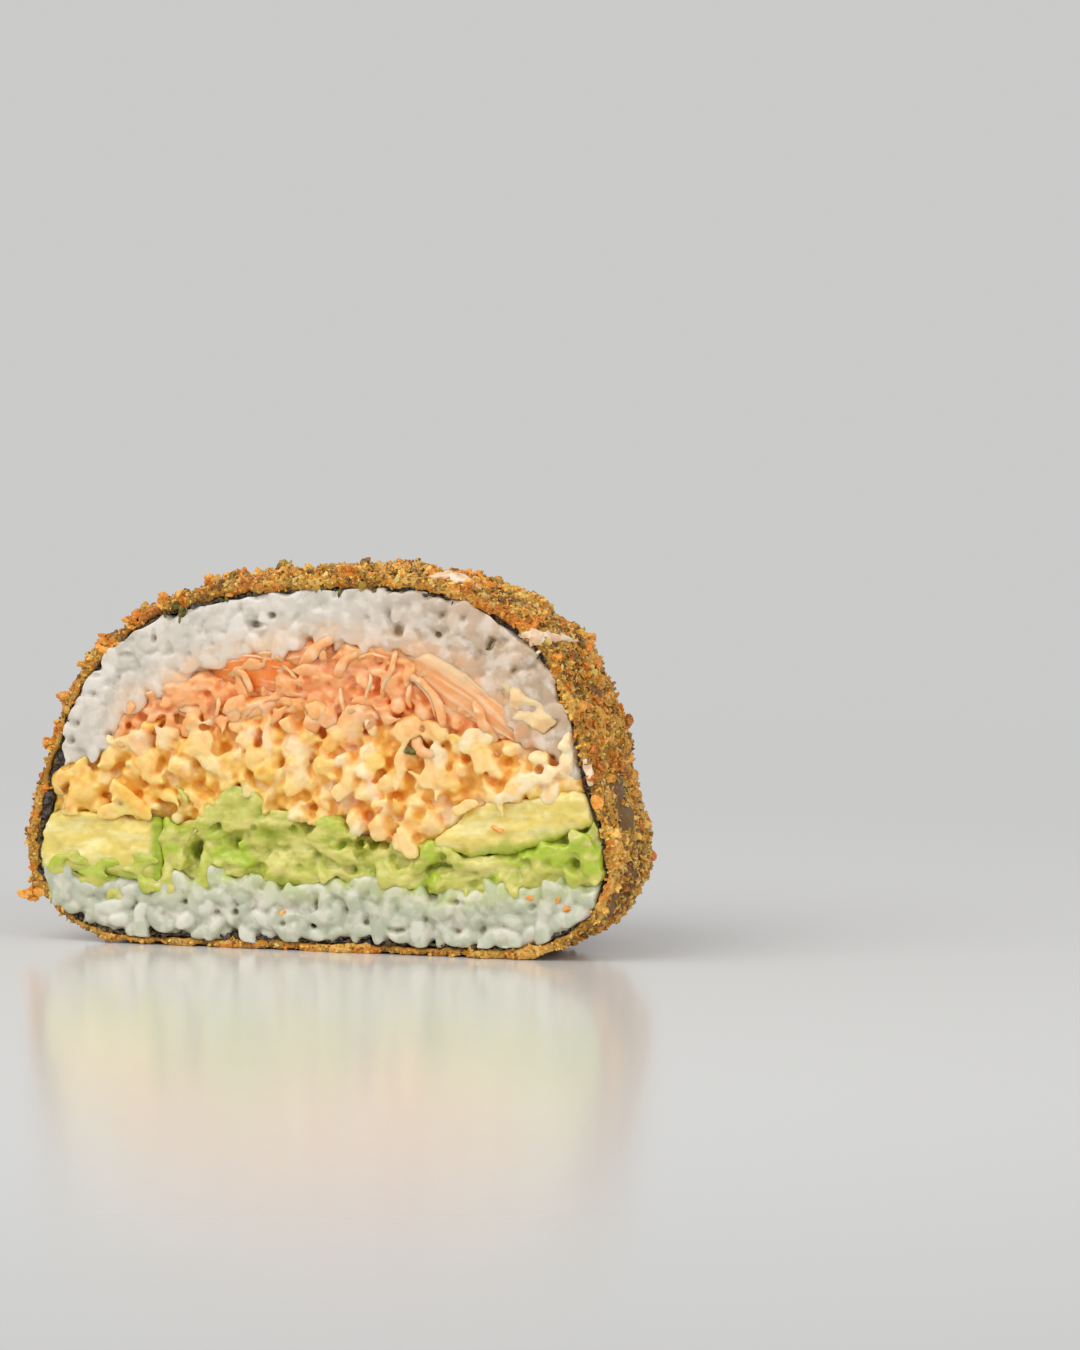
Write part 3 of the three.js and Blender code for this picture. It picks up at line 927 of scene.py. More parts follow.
class SushiCrustSettings(bpy.types.PropertyGroup):
    """The fried coat and its crumbs."""

    relief: length(0.85, "How far the batter rises and falls")
    sunk: length(0.8, "How far the batter lies under the tops of its crumbs")
    crumb_size: length(1.35, "Width of a common crumb")
    chunk_size: length(2.3, "Width of the large orange crumbs")
    # Painted shade and light on the crust: its batter is dark in the hollows of the relief and light on its high spots.
    # dark also colours the darker crumbs and the thin batter.
    dark: colour((104, 68, 14), "Batter in the hollows")
    body: colour((182, 130, 42), "Most of the batter")
    light: colour((228, 178, 88), "Batter on the high spots")
    browned: colour((214, 128, 26), "Crumbs that took more colour")
    seaweed: colour((94, 80, 72), "Seaweed under the crust")


class SushiRiceSettings(bpy.types.PropertyGroup):
    """The two layers of rice."""

    grain_length: length(5.2, "Length of a cooked grain")
    grain_width: length(2.6, "Width of a cooked grain")
    spacing: length(2.3, "Distance between grains at the cut")
    top: colour((210, 202, 190), "Rice over the filling")
    base: colour((192, 195, 172), "Rice under the filling")
    # Painted shade: the grey colour of the deep gaps between the grains.
    gaps: colour((128, 118, 88), "Deep gaps between the grains")
    peach: colour((236, 190, 144), "Stain on rice that touches the salmon")
    green: colour((192, 202, 112), "Stain on rice that touches the avocado")


class SushiFillingSettings(bpy.types.PropertyGroup):
    """Salmon, crab and avocado."""

    crab_size: length(4.4, "Width of a common piece of crab")
    crab: colour((250, 212, 146), "High spots of the crab")
    # The sides and gaps of the crab take deeper orange and darker colours: partly its sauce, partly painted shade.
    crab_shade: colour((246, 192, 96), "Sides of the pieces of crab")
    crab_pit_sauce_and_shade: colour((238, 158, 46), "Deep gaps in the crab")
    salmon: colour((242, 170, 108), "Salmon")
    salmon_pale: colour((248, 200, 158), "Pale lines in the salmon")
    # Painted shade: the deep places of the salmon take this deeper orange.
    salmon_deep_shade: colour((236, 120, 26), "Deep places in the salmon")
    avocado: colour((228, 206, 110), "Inside of the avocado")
    avocado_edge: colour((158, 176, 44), "Avocado close to its skin")
    mash: colour((200, 196, 98), "High spots of the mashed avocado")
    # Painted shade: the deep places of the mash take this darker green.
    mash_deep_shade: colour((150, 162, 38), "Deep places in the mashed avocado")


# ---------------------------------------------------------------- finishes


def rice_finish(name, raised, settings, stain, amount, right_tint_and_shade):
    """Waxy cooked rice with grey gaps, which are painted shade, and a stain next to the filling; darker and browner to
    the right, partly a tint and partly painted shade.
    """
    look = Finish(name)
    tone = look.attribute("tone")
    # The deep gaps are painted grey: painted shade.
    look.lumpy(raised, blended(raised, settings.gaps, 0.14), settings.gaps)
    look.tint(look.ramp(tone, 0.55, 0.75), (0.88, 0.89, 0.88), "MULTIPLY")
    look.tint(look.ramp(tone, 0.3, 0.15, 0.0, 0.35), linear(240, 236, 228))
    spread = look.ramp(look.noise(2.6), 0.25, 0.75, 0.35, 1.3)
    look.tint(look.times(look.times(look.attribute("stain"), spread), amount), stain)
    # Darker and browner towards the right: partly a peach tint, partly painted shade.
    look.tint(look.place("X", 0.0, 0.035, right_tint_and_shade), (0.86, 0.60, 0.38), "MULTIPLY")
    look.tint(look.patches(3.0, 0.46, 0.62, 0.5), linear(230, 222, 210))
    return look.moist(1600.0, 0.46, 0.28, 0.05, 0.12, 0.2, **fleshy(0.5, 1.5, 1.0, 0.94, 0.84))


def crab_finish(settings):
    """Chopped crab in sauce: cream tops, with orange sides and dark gaps that are partly the sauce and partly painted
    shade; pinker above and creamier at the right.
    """
    look = Finish("crab_in_sauce")
    tone = look.attribute("tone")
    # Sides and gaps by depth: partly sauce, partly painted shade.
    look.lumpy(settings.crab, settings.crab_shade, settings.crab_pit_sauce_and_shade)
    look.tint(look.ramp(tone, 0.68, 0.90, 0.0, 0.6), linear(246, 242, 170), "MULTIPLY")
    look.tint(look.ramp(tone, 0.34, 0.12, 0.0, 0.55), linear(252, 234, 206))
    look.tint(look.patches(3.4, 0.5, 0.66, 0.6), linear(252, 216, 190), "MULTIPLY")
    for heights, sides, amount, levels, kind in (
        ((0.033, 0.043), (0.026, 0.018), 0.8, (255, 214, 200), "MULTIPLY"),
        ((0.037, 0.029), (0.004, -0.008), 0.6, (244, 242, 186), "MULTIPLY"),
        ((0.036, 0.040), (0.028, 0.032), 0.75, (244, 206, 160), "MIX"),
    ):
        zone_share = look.times(look.place("Z", *heights), look.place("X", *sides))
        look.tint(look.times(zone_share, amount), linear(*levels), kind)
    look.tint(look.patches(4.0, 0.54, 0.72, 0.35), linear(246, 232, 180), "MULTIPLY")
    return look.moist(1900.0, 0.5, 0.3, 0.09, 0.15, 0.18, **fleshy(0.6, 2.6, 1.0, 0.6, 0.25))


def salmon_finish(name, settings, lines):
    """Raw salmon with pale lines along its grain, painted a deeper orange in its deep places: painted shade."""
    look = Finish(name)
    look.lumpy(settings.salmon, blended(settings.salmon, settings.salmon_deep_shade, 0.3), settings.salmon_deep_shade)
    look.tint(look.ramp(look.attribute("line"), 0.52, 0.80, 0.0, lines), settings.salmon_pale)
    look.tint(look.patches(3.0, 0.5, 0.7, 0.35), settings.salmon_pale)
    return look.moist(1400.0, 0.42, 0.26, 0.05, 0.2, 0.15, **fleshy(0.55, 2.6, 1.0, 0.58, 0.32))


def avocado_finish(name, settings):
    """Ripe avocado that turns green towards its skin."""
    look = Finish(name)
    wobble = look.times(look.maths("SUBTRACT", look.noise(3.0), 0.5), 0.5)
    green = look.ramp(look.maths("ADD", look.attribute("edge"), wobble), 0.62, 1.0)
    streaks = look.patches(1.4, 0.40, 0.68, roughness=0.6, stretch=(0.22, 0.6, 1.0))
    look.colour = look.mix(streaks, settings.avocado, linear(238, 224, 158))
    look.tint(look.patches(5.0, 0.56, 0.72, 0.4, roughness=0.6, stretch=(0.6, 1.0, 1.0)), linear(206, 178, 52))
    look.tint(green, settings.avocado_edge)
    return look.moist(1300.0, 0.42, 0.28, 0.07, 0.12, 0.2, 1.42, **fleshy(0.25, 1.4, 1.0, 0.9, 0.3))


def mash_finish(settings):
    """Mashed avocado with patches of cream and lime, painted dark green in its gaps: painted shade."""
    look = Finish("mashed_avocado")
    # The pit colour is darker still: painted shade.
    pit = [0.75 * level for level in settings.mash_deep_shade]
    look.lumpy(settings.mash, blended(settings.mash, settings.mash_deep_shade, 0.55), pit)
    look.tint(look.patches(4.5, 0.46, 0.62, 0.7, roughness=0.6, stretch=(0.5, 1.0, 1.0)), linear(226, 214, 136))
    look.tint(look.patches(3.2, 0.5, 0.64, 0.7, roughness=0.6, stretch=(0.4, 1.0, 1.2)), linear(164, 176, 44))
    look.tint(look.ramp(look.attribute("tone"), 0.7, 0.97, 0.0, 0.8), linear(172, 196, 48))
    return look.moist(1500.0, 0.42, 0.24, 0.08, 0.2, 0.15, 1.42, **fleshy(0.25, 1.4, 1.0, 0.95, 0.3))


def batter(look, settings, tone, body, light, patches):
    """Gives a material the colours of fried batter, and returns the group's outputs."""
    made = look.group(
        "Fried Batter", Tone=tone, Dark=settings.dark, Body=body, Light=light, Browned=settings.browned, Patches=patches
    )
    look.colour = made["Colour"]
    return made


def crust_finish(settings):
    """Thin batter over seaweed, which shows through in the low places. The batter is darker in the hollows of its
    relief and lighter on its high spots: painted shade and painted light.
    """
    look = Finish("crust_batter")
    # lit is 1 on the high spots and 0 in the hollows, so the batter is painted light on top and shade below.
    lit = look.maths("SUBTRACT", 1.0, look.attribute("hollow"))
    height = batter(look, settings, lit, settings.body, settings.light, 0.8)["Height"]
    specks = look.noise(0.8, 4.0, 0.7)
    thin = look.mix(look.ramp(specks, 0.42, 0.58), settings.seaweed, settings.dark)
    # The seaweed shows in the bare streaks; low down and on the lower right flank this is partly painted shade.
    bare = look.maths("ADD", look.attribute("bare"), look.maths("SUBTRACT", specks, 0.5))
    look.tint(look.ramp(bare, 0.2, 0.7, 0.0, 0.85), thin)
    return look.shade(0.55, height, 0.4, IOR=1.45)


def crumb_finish(name, settings, body, light, patches):
    """Fried crumbs, each with its own tone."""
    look = Finish(name)
    height = batter(look, settings, look.attribute("tone"), linear(*body), linear(*light), patches)["Height"]
    coat = {"IOR": 1.45, "Coat_Weight": 0.25, "Coat_Roughness": 0.22}
    return look.shade(0.46, height, 0.1, **coat, **fleshy(0.25, 0.7, 1.0, 0.6, 0.25))


def seaweed_finish(name):
    """Damp dark seaweed with a violet-grey sheen."""
    look = Finish(name)
    weave = look.noise(0.7, 4.0, 0.7)
    look.colour = look.mix(look.ramp(weave, 0.38, 0.66), linear(26, 21, 16), linear(104, 94, 90))
    look.tint(look.patches(1.8, 0.5, 0.62, 0.85, roughness=0.7), linear(120, 94, 46))
    return look.shade(0.68, weave, 0.3, IOR=1.4)


def plain_finish(name, levels, patch, size, roughness):
    """A soft finish with patches of a second colour."""
    look = Finish(name)
    spots = look.noise(size)
    look.colour = look.mix(look.ramp(spots, 0.4, 0.65), linear(*levels), linear(*patch))
    return look.shade(roughness, spots, 0.06, IOR=1.42, **fleshy(0.2, 0.8, 1.0, 0.7, 0.45))


# ---------------------------------------------------------------- operators


class SUSHI_OT_stage(bpy.types.Operator):
    """Set the camera, the lights, the table and the backdrop"""

    bl_idname = "sushi.stage"
    bl_label = "Stage"

    def execute(self, context):
        values, scene = context.scene.sushi_stage, context.scene
        scene.view_settings.view_transform = "Standard"
        eye = bpy.data.cameras.new("camera")
        eye.lens, eye.sensor_width = LENS, 36.0
        eye.clip_start, eye.clip_end = 0.05, 20.0
        scene.camera = self.put(scene, "camera", eye, EYE, (math.radians(TILT), 0.0, math.radians(TURN)))
        self.light(scene, "key", (-0.55, -0.85, 1.05), 1.3, values.key_power)
        self.light(scene, "fill", (1.1, -0.75, 0.55), 1.1, values.fill_power)
        self.world(scene, values)
        self.floor(scene, values)
        return {"FINISHED"}

    def put(self, scene, name, data, place, turn):
        """Adds an object to the scene, in its place."""
        obj = bpy.data.objects.new(name, data)
        obj.location, obj.rotation_euler = place, turn
        scene.collection.objects.link(obj)
        return obj

    def light(self, scene, name, place, size, power):
        """A soft square light that looks at the middle of the object."""
        lamp = bpy.data.lights.new(name, "AREA")
        lamp.energy, lamp.size = power, size
        towards = Vector((0.0, 0.0, 0.03)) - Vector(place)
        self.put(scene, name, lamp, place, towards.to_track_quat("-Z", "Y").to_euler())

    def world(self, scene, values):
        """The camera sees the backdrop; the light from all round is set apart from it."""
        scene.world = bpy.data.worlds.new("backdrop")
        scene.world.use_nodes = True
        scene.world.node_tree.nodes.clear()
        nodes = Nodes(scene.world.node_tree)
        seen = nodes.add("ShaderNodeBackground", {"Color": values.backdrop, "Strength": 1.0})[0]
        lit = nodes.add("ShaderNodeBackground", {"Color": (1.0, 1.0, 1.0), "Strength": 0.5})[0]
        share = nodes.add("ShaderNodeLightPath")["Is Camera Ray"]
        both = nodes.add("ShaderNodeMixShader", {0: share, 1: lit, 2: seen})[0]
        nodes.add("ShaderNodeOutputWorld", {"Surface": both})

    def floor(self, scene, values):
        """A pale round table that fades into the backdrop."""
        bm = bmesh.new()
        bmesh.ops.create_circle(bm, cap_ends=True, segments=96, radius=1.5)
        table = self.put(scene, "table", closed("table", bm), (0.0, 0.0, 0.0), (0.0, 0.0, 0.0))
        material = bpy.data.materials.new("table_top")
        material.use_nodes = True
        material.node_tree.nodes.clear()
        nodes = Nodes(material.node_tree)
        where = nodes.add("ShaderNodeTexCoord")["Object"]
        away = nodes.add("ShaderNodeVectorMath", {0: where}, operation="LENGTH")["Value"]
        gloss = {"Base Color": values.floor, "Roughness": 0.16, "IOR": 1.45}
        top = nodes.add("ShaderNodeBsdfPrincipled", gloss)[0]
        clear = nodes.add("ShaderNodeBsdfTransparent")[0]
        fade = nodes.ramp(away, values.floor_reach * 0.25, values.floor_reach)
        both = nodes.add("ShaderNodeMixShader", {0: fade, 1: top, 2: clear})[0]
        nodes.add("ShaderNodeOutputMaterial", {"Surface": both})
        table.data.materials.append(material)


def bare_streaks(points):
    """1 in the upright streaks where the batter is thin and the seaweed shows through, most of them low down and on the
    lower right flank near the cut, where they also paint the shade that falls there.
    """
    streak = rough_noise(points * np.array([1.0, 0.8, 0.30]), 2.6, 35, 3, 0.6)
    # More streaks low down and on the lower right flank near the cut: partly painted shade.
    low = 1.0 - eased(points[:, 2], 26.0, 48.0)
    near = low * eased(points[:, 0], 34.0, 44.0) * (1.0 - eased(points[:, 1], FACE + 10.0, FACE + 18.0))
    streak += 0.4 * rough_noise(points, 1.3, 37, 2)
    return eased(streak + 0.30 * low + 0.36 * near, 0.42, 0.74) * eased(points[:, 1], FACE + 0.6, FACE + 1.6)


class SUSHI_OT_crust(bpy.types.Operator):
    """Make the fried coat with its cut rim"""

    bl_idname = "sushi.crust"
    bl_label = "Crust"

    def execute(self, context):
        values = context.scene.sushi_crust
        skin = fused(zone("panko_coat"), 0.69, 1)
        points, normals = points_of(skin), normals_of(skin)
        rays = from_heart(points)
        facing = along(normals, rays)
        outer = eased(facing, 0.0, 0.4)
        rim = eased(-normals[:, 1], 0.3, 0.8) * (points[:, 1] < FACE + 1.2)
        relief = values.relief / MM
        bumps = rough_noise(points * np.array([1.0, 1.0, 0.6]), 4.2, 21, 4, 0.6) * relief
        left = eased(-points[:, 0], 30.0, 36.0) * (1.0 - eased(points[:, 1], FACE + 3.0, FACE + 8.0))
        sunk = values.sunk / MM * outer * eased(points[:, 2], 0.5, 4.0) + 0.5 * left * outer
        moved = points + normals * (bumps * np.maximum(outer, 0.6 * rim) - sunk)[:, None]
        inner = eased(-facing, 0.2, 0.7) * (1.0 - eased(points[:, 1], FACE + 1.0, FACE + 2.5))
        moved -= rays * (inner * np.clip(0.3 + 0.7 * rough_noise(points, 1.8, 24, 2), 0.0, 0.9))[:, None]
        moved[:, 2] = np.maximum(moved[:, 2], 0.0)
        move_points(skin, moved)
        # hollow is high where the relief sinks, and the crust's finish paints it darker: painted shade.
        store(skin, hollow=0.45 - 0.55 * bumps / relief, bare=bare_streaks(points) * (1.0 - rim))
        finished("crust", skin, crust_finish(values), ["panko_coat"])
        return {"FINISHED"}


def crumb_ground(with_rim, kept):
    """The outside of the crust, to strew crumbs on. kept is the share that stays in its bare streaks."""
    bm = opened(bpy.data.objects["crust"].data)
    middles = np.array([face.calc_center_median()[:] for face in bm.faces]) / MM
    ways = np.array([face.normal[:] for face in bm.faces])
    near = middles[:, 1] < FACE + 0.35
    wanted = ((along(ways, from_heart(middles)) > 0.15) & ~near) | (with_rim & near & (ways[:, 1] < -0.5))
    wanted &= ~((ways[:, 2] < -0.6) & (middles[:, 2] < 2.0)) & (middles[:, 2] > 0.3)
    # Crumbs stay out of the bare streaks so the dark seaweed shows, which low on the right flank is partly painted
    # shade.
    bare = bare_streaks(middles) > np.maximum(0.5 + kept + 1.5 * lattice_noise(middles, 1.1, 34), 0.12)
    if not with_rim:
        bare |= (middles[:, 0] < -34.0) & (middles[:, 1] < FACE + 6.0) & (lattice_noise(middles, 4.0, 33) < 0.3)
    gone = [face for face, keep in zip(bm.faces, wanted & ~bare) if not keep]
    bmesh.ops.delete(bm, geom=gone, context="FACES")
    return closed("crumb_ground", bm)


class SUSHI_OT_crumbs(bpy.types.Operator):
    """Strew fried crumbs over the crust"""

    bl_idname = "sushi.crumbs"
    bl_label = "Crumbs"

    def execute(self, context):
        values = context.scene.sushi_crust
        rng = np.random.default_rng(31)
        chunk, crumb = values.chunk_size / MM, values.crumb_size / MM
        coarse = [crumb_shape(rng, 2, 0.38, (0.45, 0.85)) for _ in range(12)]
        fine = [crumb_shape(rng, 1, 0.5, (0.45, 0.8)) for _ in range(12)]
        outside, everywhere, denser = crumb_ground(False, 0.15), crumb_ground(True, 0.15), crumb_ground(True, 0.5)
        golden = crumb_finish("golden_crumb", values, (212, 150, 36), (246, 198, 100), 0.9)
        olive = crumb_finish("olive_crumb", values, (166, 134, 44), (220, 190, 106), 0.6)
        orange = crumb_finish("orange_crumb", values, (222, 130, 20), (246, 172, 64), 0.9)
        flake, edge = seaweed_finish("seaweed_flake"), zone_front("nori_wrap", 0.7)
        for number, (name, ground, shapes, material, spacing, size, least, most, bias, clumping) in enumerate((
            ("crumbs_orange", outside, coarse, orange, 2.6, chunk, 0.4, 1.15, 1.8, 1.0),
            ("crumbs_golden", outside, coarse, golden, 2.3, crumb, 0.6, 1.7, 1.8, 0.5),
            ("crumbs_olive", outside, coarse, olive, 2.5, crumb, 0.6, 1.4, 1.8, 0.5),
            ("crumbs_fine_golden", everywhere, fine, golden, 0.9, crumb, 0.35, 0.9, 1.4, 0.0),
            ("crumbs_fine_olive", denser, fine, olive, 1.0, crumb, 0.35, 0.85, 1.4, 0.0),
            ("crumbs_fine_orange", everywhere, fine, orange, 1.1, crumb, 0.35, 0.9, 1.4, 0.8),
            ("flakes_on_seaweed", edge, fine, flake, 0.8, crumb, 0.5, 1.1, 1.2, 0.3),
        )):  # fmt: skip
            sizes = (least * size, most * size)
            made = strewn(
                ground, shapes, material, spacing, sizes, (-0.15, 0.25), 41 + number,
                bias=bias, clumping=clumping, clump=6.5,
            )  # fmt: skip
            points = points_of(made)
            points[:, 2] = np.maximum(points[:, 2], 0.03)
            move_points(made, points)
            finished(name, made, material, smooth=False)
        return {"FINISHED"}


class SUSHI_OT_seaweed(bpy.types.Operator):
    """Make the sheet of seaweed between the crust and the rice"""

    bl_idname = "sushi.seaweed"
    bl_label = "Seaweed"

    def execute(self, context):
        sheet = skin_only(fused(zone("nori_wrap", None, SLAB_BACK), 0.42, 1))
        points, normals = points_of(sheet), normals_of(sheet)
        rays = from_heart(points, False)
        inner = eased(-along(normals, rays), 0.0, 0.5)
        front = 1.0 - eased(points[:, 1], FACE + 1.5, FACE + 5.0)
        ripple = rough_noise(points, 2.2, 51, 4, 0.75)
        swell = (np.maximum(fold_depth(points, polar(points)[1]) - OVERLAP, 0.0) + 0.25 * ripple) * inner * front
        points = points - rays * swell[:, None] + normals * (0.2 * ripple * front)[:, None]
        points[:, 1] += (0.6 + 0.75 * ripple) * (1.0 - eased(points[:, 1], FACE, FACE + 1.5))
        points[:, 2] = np.maximum(points[:, 2], 0.4)
        move_points(sheet, points)
        sheet = joined("seaweed", sheet, zone("nori_wrap", CORE_FRONT))
        finished("seaweed", sheet, seaweed_finish("damp_seaweed"), ["nori_wrap"])
        return {"FINISHED"}


LOOK = {"margin": 0.0, "dents": (), "flakes": (), "beside": None, "passes": 1, "stain_reach": 4.5}


def layer_piece(name, source, bits, material, slot, **own):
    """Fuses strewn bits with the flat front of a layer, and puts the layer's deep core behind them."""
    look = {**LOOK, **own}
    seed, stand = look["seed"], look["stand"]
    move_points(bits, inside_wrap(points_of(bits), look["margin"]))
    slab = flaked_slab(source, look) if look["flakes"] else zone(source, look["core"], SLAB_BACK)
    skin = fused(joined(name, bits, slab), look["voxel"], 1)
    move_points(skin, dented(pressed(points_of(skin), stand, look["firmness"]), look["dents"]))
    skin = skin_only(gaps_closed(skin, look["closing"], look["voxel"], look["passes"]))
    points, normals = points_of(skin), normals_of(skin)
    shallow = 1.0 - eased(points[:, 1], FACE + 3.4, FACE + 4.4)
    torn = rough_noise(points, look["torn_size"], seed, 3, 0.6) * look["torn"]
    points = inside_wrap(points + normals * (torn * shallow)[:, None], look["margin"])
    move_points(skin, points)
    # hollow: how deep each spot lies; the finish paints the deep spots darker, which is painted shade.
    hollow = hollows(points, look["reach"], look["span"])
    tone, gap = tones_from(bits, pressed(points, stand, 1.0 / look["firmness"]))
    if look["flakes"]:
        size, turn, stretch = look["flakes"][0][:3]
        level = flakes(points, size, turn, stretch, seed + int(10 * size))[1]
        patchy = np.clip(0.5 + 0.4 * level + 0.5 * lattice_noise(points, 2.6, seed + 8), 0.0, 1.0)
        tone = np.where(gap < 0.4, tone, patchy)
    stain = closeness(points, look["beside"], look["stain_reach"]) if look["beside"] else 0.0
    line = rough_noise(points * np.array([0.25, 1.0, 1.0]), 1.2, seed + 7) * 0.4 + 0.5
    store(skin, hollow=hollow, tone=evened(skin, tone, 3), stain=stain, line=line)
    core = zone(source, CORE_FRONT)
    # The deep core gets a middle depth, so it is partly painted in the darker shade colour.
    store(core, hollow=0.6, tone=0.5, stain=0.3, line=0.3)
    finished(name, joined(name, skin, core), material, [source])


TOP_RICE_DENTS = (
    # x, z, half width, half height, depth
    (-35.0, 49.4, 1.5, 0.7, 1.1),
    (-8.4, 56.8, 1.4, 0.6, 1.2),
    (-11.1, 55.0, 1.9, 0.7, 1.1),
    (-40.6, 45.8, 1.5, 0.6, 1.0),
    (-45.3, 34.3, 1.2, 0.8, 1.0),
    (-29.8, 52.2, 0.7, 1.3, 1.1),
    (-19.0, 51.6, 0.7, 0.9, 0.9),
    (31.0, 53.0, 0.9, 1.6, 1.2),
)
BASE_RICE_DENTS = (
    (24.7, 9.2, 1.8, 0.8, 1.4),
    (-24.5, 7.6, 1.0, 0.7, 1.3),
    (-6.2, 4.6, 1.0, 0.8, 1.2),
    (14.0, 4.2, 1.8, 0.7, 1.2),
    (-15.0, 6.0, 0.9, 0.6, 1.2),
    (38.6, 9.0, 1.1, 0.9, 1.2),
)
RICE_LOOK = {"voxel": 0.24, "torn": 0.05, "torn_size": 1.4, "reach": 1.2, "span": 0.9, "passes": 2}


class SUSHI_OT_rice(bpy.types.Operator):
    """Make the rice over and under the filling"""

    bl_idname = "sushi.rice"
    bl_label = "Rice"

    def execute(self, context):
        values = context.scene.sushi_rice
        rng = np.random.default_rng(61)
        grains = [grain_shape(rng, values.grain_length / MM, values.grain_width / MM) for _ in range(8)]
        top = rice_finish("top_rice", values.top, values, values.peach, 0.85, 0.7)
        base = rice_finish("base_rice", values.base, values, values.green, 0.7, 0.0)
        top_look = {"beside": "salmon", "stain_reach": 6.0, "dents": TOP_RICE_DENTS}
        top_look |= {"stand": 0.2, "firmness": 0.3, "core": 1.5, "closing": 0.2}
        base_look = {"beside": "avocado_mash", "margin": -0.2, "dents": BASE_RICE_DENTS}
        base_look |= {"stand": 0.5, "firmness": 0.5, "core": 1.7, "closing": 0.1}
        step = values.spacing / MM
        for name, source, material, seed, look in (
            ("rice_over_filling", "rice_top", top, 62, top_look),
            ("rice_under_filling", "rice_base", base, 66, base_look),
        ):
            front = zone_front(source, 2.4)
            bits = bits_on(
                material,
                seed,
                (front, grains, 0.72 * step, (0.8, 1.05), (0.5, 1.4), 32.0),
                (front, grains, 0.86 * step, (0.85, 1.2), (1.4, 2.3), 28.0),
            )
            layer_piece(name, source, bits, material, "rice", seed=seed, **RICE_LOOK, **look)
        return {"FINISHED"}


CRAB_PIECES = (
    # x, depth, z, length, width, height, turn, tone
    (-11.8, -0.1, 41.4, 11.0, 3.4, 3.2, 12, 0.10),
    (33.8, 0.9, 45.2, 6.4, 4.8, 3.8, -30, 0.45),
    (36.8, 0.7, 42.8, 8.8, 7.4, 4.0, -40, 0.35),
    (39.8, 0.8, 40.0, 6.8, 6.0, 4.0, -50, 0.45),
    (36.4, 1.0, 40.0, 6.8, 5.4, 4.0, 20, 0.40),
    (-37.6, -1.0, 22.4, 6.4, 3.0, 3.0, 8, 0.4),
    (-44.6, -1.0, 22.6, 4.6, 2.8, 3.0, -12, 0.6),
    (27.0, -1.1, 25.4, 4.6, 2.6, 2.6, 20, 0.5),
    (34.6, -1.0, 27.4, 4.2, 2.4, 2.6, 10, 0.1),
    (38.4, -0.5, 29.6, 6.8, 4.2, 3.4, 20, 0.05),
    (8.5, -1.2, 40.2, 2.6, 2.4, 2.4, 0, 0.02),
    (45.0, -0.4, 33.4, 6.4, 3.0, 3.2, 100, 0.01),
    (44.6, -0.5, 36.6, 4.6, 2.6, 3.0, 60, 0.02),
    (41.4, -0.6, 31.0, 4.8, 2.8, 3.0, 30, 0.03),
    (6.0, -0.3, 38.6, 6.4, 5.0, 3.6, 70, 0.30),
    (2.6, -0.6, 35.6, 4.4, 3.0, 3.0, 30, 0.97),
    (-22.2, -0.4, 34.6, 5.2, 3.6, 3.0, 60, 0.95),
    (10.6, -0.5, 32.2, 4.6, 3.4, 3.0, -20, 0.90),
    (-18.4, -0.7, 31.0, 7.0, 3.6, 3.2, -32, 0.12),
    (-3.5, -0.5, 30.0, 6.2, 4.0, 3.4, 80, 0.15),
    (20.4, -0.4, 30.6, 5.8, 4.2, 3.4, 25, 0.30),
    (28.8, -0.5, 36.6, 6.0, 4.6, 3.4, 40, 0.20),
    (-30.6, -0.4, 31.2, 6.4, 3.8, 3.2, 68, 0.35),
    (-43.0, -0.4, 27.0, 6.6, 4.0, 3.4, 50, 0.88),
    (-33.2, -0.9, 24.4, 8.6, 3.2, 3.0, -38, 0.92),
)
CRAB_LOOK = {
    "stand": 1.0, "firmness": 0.4, "voxel": 0.27, "closing": 0.1, "torn": 0.16, "torn_size": 1.5, "reach": 1.7,
    "span": 1.9, "seed": 74, "flakes": ((4.4, 35, 1.3, 1.3, 0.6), (2.1, -25, 1.4, 0.75, 0.3)),
    "dents": ((-1.3, 24.3, 2.2, 0.9, 2.2), (-5.8, 20.6, 2.4, 0.8, 1.8), (-24.6, 36.2, 0.9, 1.4, 1.4)),
}  # fmt: skip


class SUSHI_OT_crab(bpy.types.Operator):
    """Make the chopped crab"""

    bl_idname = "sushi.crab"
    bl_label = "Crab"

    def execute(self, context):
        values = context.scene.sushi_filling
        rng = np.random.default_rng(71)
        size = values.crab_size / MM
        lumps = [chunk_shape(rng, 1.35, 0.95, 0.85, 6) for _ in range(8)]
        lumps += [shred_shape(rng, 2.0, 0.6) for _ in range(4)]
        material = crab_finish(values)
        front = zone_front("crab_salad", 2.6)
        bits = bits_on(
            material,
            72,
            (front, lumps, 3.4, (0.5 * size, 0.9 * size), (1.6, 2.9), 180.0),
            (front, lumps, 4.2, (0.8 * size, 1.2 * size), (1.6, 2.8), 180.0),
        )
        bits = joined("crab", bits, single_lumps(CRAB_PIECES, 76))
        layer_piece("crab", "crab_salad", bits, material, "crab", **CRAB_LOOK)
        return {"FINISHED"}


